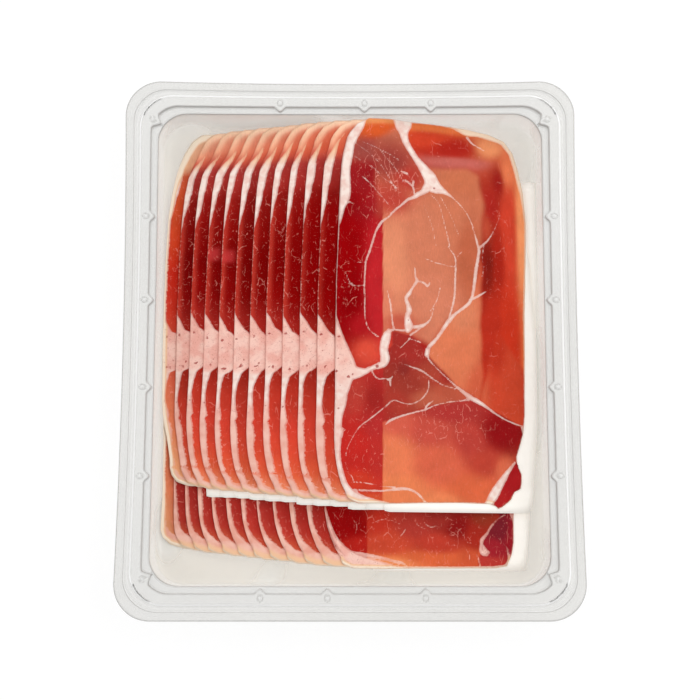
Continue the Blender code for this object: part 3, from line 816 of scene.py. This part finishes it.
# Rows from which a thing fades in, is full, fades out, and is gone.
HEEL_ROWS = (316, 328, 372, 385)
FLESHY_ROWS = (222, 236, 308, 320)
DEEP_ROWS = (186, 215, 315, 330)
LIT_EDGE_ROWS = (165, 185, 318, 332)

# Rows between which a thing fades in.
CAP_SHADE_ROWS = (160, 146)
SHADE_ROWS = (140, 170)
LIGHT_FOOT_ROWS = (370, 410)
VARIED_ROWS = (150, 180)
FLECKED_ROWS = (150, 175)
FLESHY_FOOT_ROWS = (395, 430)
FAR_RIND_ROWS = (170, 146)
FOOT_RIND_ROWS = (489, 500)
CORNER_ROWS = (185, 140)          # the first slice's broad white corner
WHITE_FAR_ROWS = (215, 165)
WHITE_SIDE_ROWS = (420, 300)

# Depths between which a thing fades in: in pixels of the view, and the rind's in millimetres.
CAP_SHADE_DEPTHS = (2.5, 9)
SHADE_DEPTHS = (2, 13)
LIT_EDGE_DEPTHS = (7, 0.5)
SHINE_DEPTHS = (16, 8)
PEACH_RIND = (3.6, 1.2)
CREAM_RIND = (1.2, 0.3)
LOWER_PEACH_RIND = (5.0, 2.2)
LOWER_CREAM_RIND = (1.5, 0.4)
TOP_FOOT_RIND = (2.8, 0.9)
TOP_SIDE_RIND = (5, 3)
RIGHT_SIDE = (60, 80)             # millimetres across, between which the whole slice's right begins

# Blood in the fat of every strip: depth, row, radius; and a first dot whose row varies.
FIRST_DOT_DEPTH = 3.5
FIRST_DOT_ROW = 337
FIRST_DOT_RADIUS = 1.3
STRIP_DOTS = ((7.5, 371, 1.5), (4, 373, 0.8), (11, 366, 1.1), (6, 352, 0.6), (2.5, 410, 0.7),
    (9, 374, 0.8), (9.5, 346, 0.5))
BARE_LINE = 7.4                   # depth of the line of lean in the foot's fat
BARE_LINE_HALF = 0.85
BARE_LINE_ROWS = (478, 486)       # where it begins
OPEN_FAT = 12                     # fat deeper than this keeps its own edge
FLESHY = 1.8                      # of the heel's measure: 1 is rosy and freckled, 1.8 is fleshy
STRIP_FLECKS = 0.48
STRIP_SHARE = (15.0, 11.0)        # millimetres in from the outline; strip within, whole slice past


def row_of(spots):
    """The row of the view that each spot of a slice stands for."""
    return ROW_NEAR - spots[:, 1] / FULL_LENGTH * (ROW_NEAR - ROW_FAR)


def within(row, fades):
    """1 between the two middle rows, fading to 0 at the outer two."""
    start, full, waning, gone = fades
    return smoothstep(start, full, row) * smoothstep(gone, waning, row)


def row_values(row, stops):
    """What the stops say at each row, a column for each part of theirs."""
    stops = [(place, np.atleast_1d(value)) for place, value in stops]
    places = [place for place, _ in stops]
    return np.column_stack([np.interp(row, places, [value[part] for _, value in stops])
                            for part in range(len(stops[0][1]))])


def strip_fat(row, depth, number, upper, chance):
    """Distance from the edge of a strip's fat, less than nothing inside it."""
    sway = [(chance.uniform(4, 30), chance.uniform(0, 6.3), chance.uniform(0.2, 0.5)) for _ in range(5)]
    row_sway = sum(size * np.sin(row / pace + start) for pace, start, size in sway)
    broad = chance.uniform(0.86, 1.12) * (0.80 + 0.20 * number / TOP)
    ends = row_values(row, STREAK_ENDS if upper else LOWER_ENDS)[:, 0]
    ends = np.where(ends < OPEN_FAT, ends * broad + row_sway * smoothstep(1, 4, ends), ends)
    if not upper:
        return depth - ends
    fat = np.maximum(depth - ends, row_values(row, STREAK_STARTS)[:, 0] - depth)
    line = np.abs(depth - BARE_LINE - 0.3 * row_sway) - BARE_LINE_HALF
    bare = np.maximum(fat, -line * smoothstep(*BARE_LINE_ROWS, row))
    return np.where(row > BARE_LINE_ROWS[0], bare, fat)


def strip_lean(row, depth, number, upper, chance):
    """The lean's colour on a strip."""
    tones = STRIP_TONES if upper else LOWER_STRIP_TONES
    if number == 1:
        tones = FIRST_TONES
    lean = row_values(row, [(place, linear(*tone)) for place, tone in tones])
    if upper:
        # Painted shade: each strip's far end turns darker towards its right side.
        cap = smoothstep(*CAP_SHADE_DEPTHS, depth) * smoothstep(*CAP_SHADE_ROWS, row) * min(1.0, 0.4 + number / 16)
        lean = blended(lean, CAP_SHADE_TONE, 0.85 * cap)
    shade = smoothstep(*SHADE_DEPTHS, depth) * (0.4 + 0.6 * smoothstep(*SHADE_ROWS, row))
    shade = shade * (1 - 0.55 * smoothstep(*LIGHT_FOOT_ROWS, row) * upper)
    lean = lean * (1 - np.outer(shade, SHADE))
    lean = lean * (1 + chance.uniform(-0.12, 0.10) * smoothstep(*VARIED_ROWS, row)[:, None])
    if upper:
        lean = blended(lean, DEEP_TONE, 0.8 * smoothstep(*DEEP_NUMBERS, number) * within(row, DEEP_ROWS))
        # Painted light: each strip lighter along its left edge, as if lit there.
        lit_edge = smoothstep(*LIT_EDGE_DEPTHS, depth) * within(row, LIT_EDGE_ROWS)
        lean = blended(lean, LIT_EDGE_TONE, (0.75 if number < 10 else 0.4) * lit_edge)
    if upper and number in SHINY:
        shine = np.exp(-((row - SHINE_ROW) / SHINE_REACH) ** 4) * smoothstep(*SHINE_DEPTHS, depth)
        lean = blended(lean, SHINE_TONE, 0.6 * shine)
    return lean


def strip_stain(row, depth, number, chance):
    """Distance from the nearest blood on a strip of the upper layer."""
    first_row = FIRST_DOT_ROW + 6 * math.exp(-((number - 5.5) / 2.5) ** 2) + chance.uniform(-1.5, 1.5)
    stain = np.full(len(row), NO_SEAM)
    for across, down, size in ((FIRST_DOT_DEPTH, first_row, FIRST_DOT_RADIUS), *STRIP_DOTS):
        wide, tall = chance.uniform(0.7, 1.3), chance.uniform(0.7, 1.3)
        gap = np.hypot((depth - across - chance.uniform(-1, 1)) / wide,
                       (row - down - chance.uniform(-2, 2)) / tall)
        stain = np.minimum(stain, gap - size)
    return stain


def strip_look(spots, depth, number, layer):
    """Fat depth, lean, distance to blood, heel and flecks of a slice that shows as a strip."""
    chance = random.Random(f"{layer} strip {number}")
    step = view_step(GUIDES["upper"])
    row = row_of(spots) + chance.uniform(-2, 2)
    depth = depth / MM / step
    upper = layer == "upper"
    fat = strip_fat(row, depth, number, upper, chance)
    lean = strip_lean(row, depth, number, upper, chance)
    if upper:
        stain = strip_stain(row, depth, number, chance)
        heel = np.maximum(within(row, HEEL_ROWS), FLESHY * within(row, FLESHY_ROWS))
        heel = np.maximum(heel, 1.5 * smoothstep(*FLESHY_FOOT_ROWS, row))
    else:
        stain = np.full(len(spots), NO_SEAM)
        heel = np.full(len(spots), FLESHY)
    return fat * step, lean, stain * step, heel, STRIP_FLECKS * smoothstep(*FLECKED_ROWS, row)


def rind_look(row, rim, across, fat, number, layer):
    """A slice's fat with its rind's, and how creamy it is: 1 is peach, 2 is cream."""
    near = smoothstep(*FOOT_RIND_ROWS, row)
    if number == TOP:
        right = smoothstep(*RIGHT_SIDE, across)
        white = right * (2.3 * smoothstep(*WHITE_FAR_ROWS, row) + 0.8 * smoothstep(*WHITE_SIDE_ROWS, row))
        white = white * (layer == "upper")
        foot = 0.7 * near * (layer == "lower")
        creamy = 2 * np.maximum(smoothstep(*TOP_FOOT_RIND, rim) * near,
                                np.minimum(white, 0.8) * smoothstep(*TOP_SIDE_RIND, rim))
        return np.minimum(fat, rim - 0.35 - white * 0.7 - foot), creamy
    if layer == "lower":
        creamy = 0.9 * smoothstep(*LOWER_PEACH_RIND, rim) + 1.1 * smoothstep(*LOWER_CREAM_RIND, rim)
        creamy = creamy * near
    else:
        creamy = 0.55 * smoothstep(*PEACH_RIND, rim) + 1.45 * smoothstep(*CREAM_RIND, rim)
        creamy = np.maximum(creamy * near, 0.9 * smoothstep(*FAR_RIND_ROWS, row))
    if number == 1:
        corner = smoothstep(*CORNER_ROWS, row)
        creamy = np.maximum(creamy, 2 * smoothstep(2.6 + 3 * corner, 1.2 + 2 * corner, rim))
        fat = np.minimum(fat, rim - 1.4 - 2.5 * corner)
    return fat, creamy


def marble(piece, drape, place, number, layer):
    """Give a slice's points what its look reads."""
    spots = local(place, drape)
    depth = drape.depth(place)
    look = whole_slice_look(spots, layer, GUIDES[layer])
    if number < TOP:
        share = smoothstep(*STRIP_SHARE, depth / MM)
        strip = strip_look(spots, depth, number, layer)
        look = [whole + (part - whole) * (share[:, None] if whole.ndim == 2 else share)
                for whole, part in zip(look, strip)]
    fat, lean, stain, heel, flecks = look
    fat, creamy = rind_look(row_of(spots), depth / MM, spots[:, 0], fat, number, layer)
    for name, values in (("fat", fat), ("stain", stain), ("heel", heel), ("flecks", flecks),
                         ("cream", creamy)):
        set_attribute(piece.data, name, "FLOAT", values)
    set_attribute(piece.data, "lean", "FLOAT_COLOR", np.column_stack((lean, np.ones(len(lean)))))
    shift = np.array((number * 53.0, number * 31.0 + (900.0 if layer == "lower" else 0.0)))
    level = np.full(len(spots), number * 0.9)
    set_attribute(piece.data, "grain", "FLOAT_VECTOR", np.column_stack((spots + shift, level)))


# ---- Finishes of the sheets -------------------------------------------------------------

def threads(look, grain, crowd):
    """Thin fat in the lean: fanned strands, curls and hairs, more of them where they crowd."""
    fan = look.turned(look.swayed(grain, 0.16, 5.0), -0.72, (1.0, 0.30, 1.0))
    strands = look.web(fan, 0.18, 0.075) * (look.noise(grain, 0.14, 2.0) + crowd * 0.10).ramp(0.60, 0.66)
    net = look.swayed(grain, 0.4, 3.4)
    curls = look.web(net, 0.20, 0.06) * (look.noise(grain, 0.22, 2.0) + crowd * 0.10).ramp(0.62, 0.67)
    hairs = look.web(look.turned(net, 0.5, (1.0, 0.5, 1.0)), 0.36, 0.055)
    hairs = hairs * (look.noise(grain, 0.40, 2.0) + crowd * 0.08).ramp(0.63, 0.67)
    return strands.greatest(curls).greatest(hairs) * (0.22 + crowd * 0.48)


def fat_colour(look, grain, heel):
    """The fat's colour: pale, then rosy in the heel, freckled there, then fleshy, then rind."""
    pale = look.mottled(look.noise(grain, 0.25, 3.0).ramp(0.35, 0.7), PALE_FAT)
    rosy = look.mottled(look.noise(grain, 0.13, 3.0, 0.5).ramp(0.36, 0.66), ROSY_FAT)
    fleshy = look.mottled(look.noise(grain, 0.15, 3.0).ramp(0.35, 0.68), FLESHY_FAT)
    colour = look.mixed(heel.ramp(0.0, 1.0), pale, rosy)
    colour = look.mixed(heel.ramp(1.0, 1.8), colour, fleshy)
    cream = look.number("cream")
    colour = look.mixed(cream.ramp(0.0, 1.0), colour, look.mottled(cream.ramp(1.0, 2.0), RIND))
    reddish = heel.ramp(0.5, 0.9) * heel.ramp(1.3, 1.05)
    freckles = look.cells(grain, 0.7).ramp(0.20, 0.08) * look.noise(grain, 0.3, 2.0).ramp(0.53, 0.62)
    veins = abs(look.noise(grain, 0.26, 3.0, 0.5, 1.5) - 0.5).ramp(0.02, 0.004) * 0.35
    stain = look.number("stain") + (look.noise(grain, 1.2, 2.0) - 0.5) * 0.9
    stains = stain.ramp(0.30, -0.15).greatest(freckles.greatest(veins) * reddish * 0.75)
    return look.mixed(stains * 0.85, colour, paint(*BLOOD))


def ham_finish():
    look = Finish("cured ham")
    grain = look.attribute("grain", "Vector")
    heel = look.number("heel")
    fat_depth = look.number("fat")
    ragged = (look.noise(grain, 0.7, 3.0, 0.6) - 0.5) * 0.8 + (look.noise(grain, 2.6, 2.0) - 0.5) * 0.4
    toothed = look.noise(look.turned(grain, 0.5, (0.6, 1.3, 1.0)), 0.55, 3.0, 0.6) - 0.5
    ragged = ragged + toothed * (heel.ramp(0.9, 1.4) * 3.0)
    fat = (fat_depth + ragged).ramp(0.20, -0.14) * (0.56 + fat_depth.ramp(-0.30, -1.1) * 0.44)
    fibre = look.noise(look.turned(grain, 0.9, (1.0, 0.22, 1.0)), 1.5, 4.0, 0.6)
    blotch = look.noise(grain, 0.10, 3.0, 0.5)
    tone = 0.68 + fibre * 0.30 + blotch * 0.34
    grey = look.node("ShaderNodeCombineColor", None, {0: tone, 1: tone, 2: tone})
    lean = look.mixed(1.0, look.attribute("lean", "Color"), grey, "MULTIPLY")
    lean = look.mixed(threads(look, grain, look.number("flecks")), lean, paint(*THREAD))
    colour = look.mixed(fat, lean, fat_colour(look, grain, heel))
    relief = fibre * 0.5 + fat * 0.5
    look.surface(Base_Color=colour, Roughness=0.42, Specular_IOR_Level=0.015,
                 Normal=look.bumped(relief, 0.22, 0.0004))
    return look.material


def paper_finish():
    look = Finish("interleaf paper")
    place = look.place()
    mottle = look.noise(place, 220.0, 4.0, 0.6)
    # Painted light: the paper glows a little, which lifts it where it lies in shade.
    look.surface(Base_Color=look.mottled(mottle, PAPER_WHITE), Roughness=0.7, Specular_IOR_Level=0.15,
                 Normal=look.bumped(mottle, 0.15, 0.0002),
                 Emission_Color=PAPER_GLOW, Emission_Strength=0.20)
    return look.material


GUIDES = {layer: Drape(f"{layer}_slice_{TOP:02d}") for layer in LAYERS}


def build_sheets():
    ham = ham_finish()
    paper = paper_finish()
    for layer in LAYERS:
        for number in range(1, COUNT + 1):
            grid = WHOLE_GRID if number == TOP else STRIP_GRID
            node = f"{layer}_slice_{number:02d}"
            ham_sheet = sheet(f"{layer}_ham_{number:02d}", node, ham, grid, EDGE_WANDER)
            marble(*ham_sheet, number, layer)
            node = f"{layer}_paper_{number:02d}"
            sheet(f"{layer}_leaf_{number:02d}", node, paper, PAPER_GRID, 0.0)


# ---- Tray -------------------------------------------------------------------------------

def side_lines(side):
    """A side's outward and along directions, and half the tray's size in each."""
    angle = side * math.pi / 2
    outward = np.array((math.cos(angle), math.sin(angle)))
    along = np.array((-math.sin(angle), math.cos(angle)))
    halves = (TRAY_WIDTH / 2, TRAY_LENGTH / 2)
    return outward, along, halves[side % 2], halves[(side + 1) % 2]


def corner_lug_turn(side):
    """Where the lug lies on the corner after a side, as a turn from that side's outward way."""
    return CORNER_LUG_ANGLE if side % 2 == 0 else math.pi / 2 - CORNER_LUG_ANGLE


def rim_stations(side, run):
    """Places along one side, each with the share of a lug's reach there."""
    straight = [(place, 0.0) for place in np.linspace(-run, run, SIDE_POINTS)
                if all(abs(place - lug) > 0.7 * LUG_WIDTH for lug in SIDE_LUGS[side])]
    lugs = [(lug + LUG_WIDTH * step, depth) for lug in SIDE_LUGS[side] for step, depth in LUG_PROFILE]
    return sorted(straight + lugs)


def rim_ring(inset, corner, lug=0.0):
    """Points round the tray at one inset; lug is the share of the lugs' reach that shows."""
    points = []
    for side in SIDES:
        outward, along, half_across, half_along = side_lines(side)
        reach = half_across - inset
        run = half_along - inset - corner
        full_run = half_along - FLANGE_CORNER
        kept = STRAIGHT_SHARE * full_run
        fade = max(0.0, 1 - inset / BOW_FADE)
        for place, depth in rim_stations(side, full_run):
            past = max(0.0, abs(place) - kept) / (full_run - kept)
            spot = math.copysign(min(abs(place), kept) + past * (run - kept), place)
            bow = SIDE_BOWS[side] * (1 - (spot / run) ** 2) * fade
            points.append(outward * (reach - bow - LUG_DEPTH * depth * lug) + along * spot)
        centre = outward * (reach - corner) + along * run
        middle = corner_lug_turn(side)
        spread = 1.25 * LUG_WIDTH / STEP_CORNER
        lug_turns = [(middle + spread * step, depth) for step, depth in LUG_PROFILE]
        turns = [(turn, 0.0) for turn in np.linspace(0, math.pi / 2, CORNER_POINTS)[1:-1]
                 if abs(turn - middle) > 0.66 * spread]
        for turn, depth in sorted(lug_turns + turns):
            ray = outward * math.cos(turn) + along * math.sin(turn)
            points.append(centre + ray * (corner - CORNER_LUG_DEPTH * depth * lug))
    return np.array(points)


def nub_places():
    """The nubs' middles, one outside each lug of the step."""
    places = []
    for side in SIDES:
        outward, along, half_across, half_along = side_lines(side)
        run = half_along - STEP_INSET - STEP_CORNER
        for lug in SIDE_LUGS[side]:
            bow = SIDE_BOWS[side] * (1 - (lug / run) ** 2) * 0.5
            places.append(outward * (half_across - STEP_INSET + NUB_OUT - bow) + along * lug)
        middle = corner_lug_turn(side)
        ray = outward * math.cos(middle) + along * math.sin(middle)
        centre = outward * (half_across - STEP_INSET - STEP_CORNER) + along * run
        places.append(centre + ray * (STEP_CORNER + NUB_OUT / 3))
    return np.array(places)


def tray_rings():
    """Rings from the flange's edge to the floor.

    Each is its inset, corner radius, height, share of the lugs' reach, haze, and how much of a
    painted dark line (shade along the plastic's steps) and of a painted gleam it shows.
    """
    top = FLANGE_HEIGHT
    ledge = top - STEP_DEPTH
    low = top - GROOVE_DEPTH
    flat = FLAT_HAZE
    rings = [(0.0000, FLANGE_CORNER, top - 0.0004, 0, flat, 0.5, 0),
             (0.0003, FLANGE_CORNER, top, 0, flat, 0.1, 0.0),
             (0.0010, FLANGE_CORNER, top, 0, flat, 0, 0),
             (0.0030, GROOVE_CORNER, top, 0, flat, 0, 0),
             (0.0046, GROOVE_CORNER, top, 0, flat, 0, 0.1),
             (0.0049, GROOVE_CORNER, top - 0.0001, 0, flat, 0.45, 0),
             (0.0052, GROOVE_CORNER, low + 0.0001, 0, flat, 0, 0.6),
             (0.0057, GROOVE_CORNER, low, 0, flat, 0, 0.1),
             (0.0068, GROOVE_CORNER, low, 0, flat - 0.04, 0, 0),
             (0.0078, GROOVE_CORNER, low, 0, flat, 0, 0.2),
             (0.0082, GROOVE_CORNER, low + 0.0002, 0, flat, 0, 1),
             (0.0087, GROOVE_CORNER, top, 0, flat, 0, 0.8),
             (0.0094, STEP_CORNER, top, 0, flat, 0, 0)]
    rings += [(inset, STEP_CORNER, top, share, flat, 0, 0)
              for inset, share in ((0.0101, 0), (0.0107, 0.04), (0.0113, 0.1), (0.0119, 0.22),
                                   (0.0125, 0.4), (0.0131, 0.65), (0.0137, 0.88))]
    rings += [(0.0140, STEP_CORNER, top, 1, flat, 0.1, 0.5),
              (STEP_INSET, STEP_CORNER, top - 0.0002, 1, 0.3, 0.25, 0.1),
              (0.0144, STEP_CORNER, ledge + 0.0004, 1, 0.3, 0.50, 0),
              (0.0147, STEP_CORNER, ledge, 1, flat, 0.1, 0.4),
              (0.0152, STEP_CORNER, ledge, 0.96, flat, 0, 0),
              (0.0162, STEP_CORNER, ledge, 0.62, flat, 0, 0),
              (0.0172, WELL_CORNER, ledge, 0.28, flat, 0, 0),
              (0.0180, WELL_CORNER, ledge, 0.02, flat, 0.1, 0.3),
              (WELL_INSET, WELL_CORNER, ledge - 0.0002, 0, 0.3, 0.75, 0),
              (0.0185, WELL_CORNER, ledge - 0.0009, 0, 0.2, 0.2, 0)]
    foot = WELL_INSET + WALL_DRAFT
    wall_foot = SHEET + FLOOR_RADIUS
    for height in WALL_LEVELS:
        inset = foot - WALL_DRAFT * (height - wall_foot) / WALL_RISE
        rings.append((inset, WELL_CORNER, height, 0, flat, 0, 0))
    for step in range(FLOOR_STEPS + 1):
        angle = math.pi / 2 * step / FLOOR_STEPS
        corner = WELL_CORNER + (FLOOR_CORNER - WELL_CORNER) * step / FLOOR_STEPS
        rings.append((foot + FLOOR_RADIUS * (1 - math.cos(angle)), corner,
                      SHEET + FLOOR_RADIUS * (1 - math.sin(angle)), 0, 0.28, 0, 0))
    return rings


def build_tray():
    rings = tray_rings()
    loops = [rim_ring(inset, corner, lug) for inset, corner, height, lug, *_ in rings]
    nubs = nub_places()
    around = len(loops[0])
    builder = bmesh.new()
    bmesh.ops.create_grid(builder, x_segments=around, y_segments=len(rings) - 1, size=1.0)
    haze, line, gleam, well = (builder.verts.layers.float.new(name)
                               for name in ("haze", "line", "gleam", "well"))
    for vert in builder.verts:
        column = round((vert.co.x + 1) / 2 * around) % around
        row = round((vert.co.y + 1) / 2 * (len(rings) - 1))
        spot = loops[row][column]
        height = rings[row][2]
        vert[haze], vert[line], vert[gleam] = rings[row][4:]
        vert[well] = float(height < FLANGE_HEIGHT - STEP_DEPTH - WELL_SHOULDER)
        gap = float(np.hypot(*(nubs - spot).T).min()) / NUB_RADIUS
        rise = 0.0
        if height > FLANGE_HEIGHT - GROOVE_DEPTH / 2:
            rise = max(0.0, 1 - gap ** 2)
            # Painted highlight on each nub, and a painted dark ring of shade round it.
            if rise:
                vert[gleam] = 0.7 * rise
            elif gap < 1.5:
                vert[line] = 0.25
        vert.co = (*spot, height + NUB_HEIGHT * rise)
    bmesh.ops.remove_doubles(builder, verts=builder.verts, dist=1e-7)
    inner = [edge for edge in builder.edges if edge.is_boundary and edge.verts[0].co.z < 0.002]
    bmesh.ops.edgeloop_fill(builder, edges=inner)
    bmesh.ops.recalc_face_normals(builder, faces=builder.faces)
    if sum(face.normal.z * face.calc_area() for face in builder.faces) < 0:
        bmesh.ops.reverse_faces(builder, faces=builder.faces)
    piece = finished("clear_tray", builder, tray_finish())
    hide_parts("tray")
    wall = piece.modifiers.new("Sheet", "SOLIDIFY")
    wall.thickness = SHEET
    wall.offset = -1.0


def tray_finish():
    look = Finish("clear plastic")
    haze = look.number("haze")
    line = look.number("line")
    gleam = look.number("gleam")
    place = look.place()
    cloud = look.noise(place, 14.0, 3.0, 0.5)
    # Painted reflections: soft pale patches, most in the well, that make the plastic paler and milkier
    # there.
    reflection_patch = look.noise(look.turned(place, 0.7, (1.0, 0.5, 1.0)), 26.0, 1.5, 0.4, 0.3).ramp(0.50, 0.62)
    well = look.number("well")
    colour = look.mixed(well, paint(*CLEAR_FLANGE), paint(*CLEAR_WELL))
    colour = look.mixed(reflection_patch * (0.25 + well * 0.6), colour, paint(*CLEAR_REFLECTION))
    # Painted shade: dark lines along the steps; painted highlight: the gleams.
    colour = look.mixed(line, colour, paint(*CLEAR_EDGE_SHADE))
    colour = look.mixed(gleam, colour, paint(*CLEAR_GLEAM))
    reflection_haze = reflection_patch * (0.04 + well * 0.14)
    alpha = haze + (cloud - 0.5) * 0.10 + reflection_haze + line * 0.55 + gleam * 0.5
    look.surface(Base_Color=colour, Alpha=alpha.least(0.95).greatest(0.03), Roughness=0.15,
                 Specular_IOR_Level=0.3)
    return look.material


def film_finish():
    look = Finish("clear film")
    shine = look.node("ShaderNodeBsdfGlossy", None, {"Roughness": 0.08})
    clear = look.node("ShaderNodeBsdfTransparent")
    facing = Value(look, look.node("ShaderNodeLayerWeight", None, {"Blend": 0.25}, "Facing"))
    share = facing ** 3.0 * 0.25 + 0.0008
    mixed = look.node("ShaderNodeMixShader", None, {0: share, 1: clear, 2: shine})
    look.connect(mixed, look.output.inputs["Surface"])
    look.tree.nodes.remove(look.shader)
    return look.material


def dress_film():
    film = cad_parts["lid_film"]
    film.data.materials.clear()
    film.data.materials.append(film_finish())


# ---- Stage ------------------------------------------------------------------------------

def area_light(name, place, size, power):
    """A soft light that faces the pack."""
    light = bpy.data.lights.new(name, "AREA")
    light.shape = "RECTANGLE"
    light.size, light.size_y = size
    light.energy = power
    made = bpy.data.objects.new(name, light)
    bpy.context.scene.collection.objects.link(made)
    made.location = place
    made.rotation_euler = (-Vector(place)).to_track_quat("-Z", "Y").to_euler()


def build_stage():
    builder = bmesh.new()
    bmesh.ops.create_grid(builder, x_segments=8, y_segments=8, size=3.0)
    mesh = bpy.data.meshes.new("floor")
    builder.to_mesh(mesh)
    builder.free()
    floor = bpy.data.objects.new("floor", mesh)
    bpy.context.scene.collection.objects.link(floor)
    floor.location = (0.0, 0.0, -0.0002)
    look = Finish("pale floor")
    look.surface(Base_Color=(0.18, 0.18, 0.18, 1.0), Roughness=0.9, Specular_IOR_Level=0.0,
                 Emission_Color=(1.0, 1.0, 1.0, 1.0), Emission_Strength=0.84)
    mesh.materials.append(look.material)

    area_light("right softbox", (1.1, 0.2, 1.1), (1.4, 1.4), 12.5)
    area_light("left softbox", (-1.2, 0.1, 1.0), (1.4, 1.4), 8.5)
    area_light("far softbox", (0.1, 1.5, 1.1), (1.6, 0.8), 7.0)
    world = bpy.data.worlds.new("studio")
    world.use_nodes = True
    background = world.node_tree.nodes["Background"]
    background.inputs["Color"].default_value = (1, 1, 1, 1)
    background.inputs["Strength"].default_value = 0.45
    bpy.context.scene.world = world
    bpy.context.scene.view_settings.view_transform = "Standard"


def build_camera():
    camera = bpy.data.cameras.new("camera")
    camera.sensor_width = SENSOR
    camera.lens = VIEW_FOCAL / VIEW_WIDTH * SENSOR
    camera.shift_y = (VIEW_MIDDLE[1] - VIEW_WIDTH / 2) / VIEW_WIDTH
    camera.clip_start = 0.01
    made = bpy.data.objects.new("camera", camera)
    bpy.context.scene.collection.objects.link(made)
    lean = math.asin(VIEW_LEAN)
    made.location = (0.0, -VIEW_DISTANCE * VIEW_LEAN, FLANGE_HEIGHT + VIEW_DISTANCE * math.cos(lean))
    made.rotation_euler = (lean, 0.0, 0.0)
    bpy.context.scene.camera = made


build_camera()
build_stage()
build_tray()
dress_film()
build_sheets()
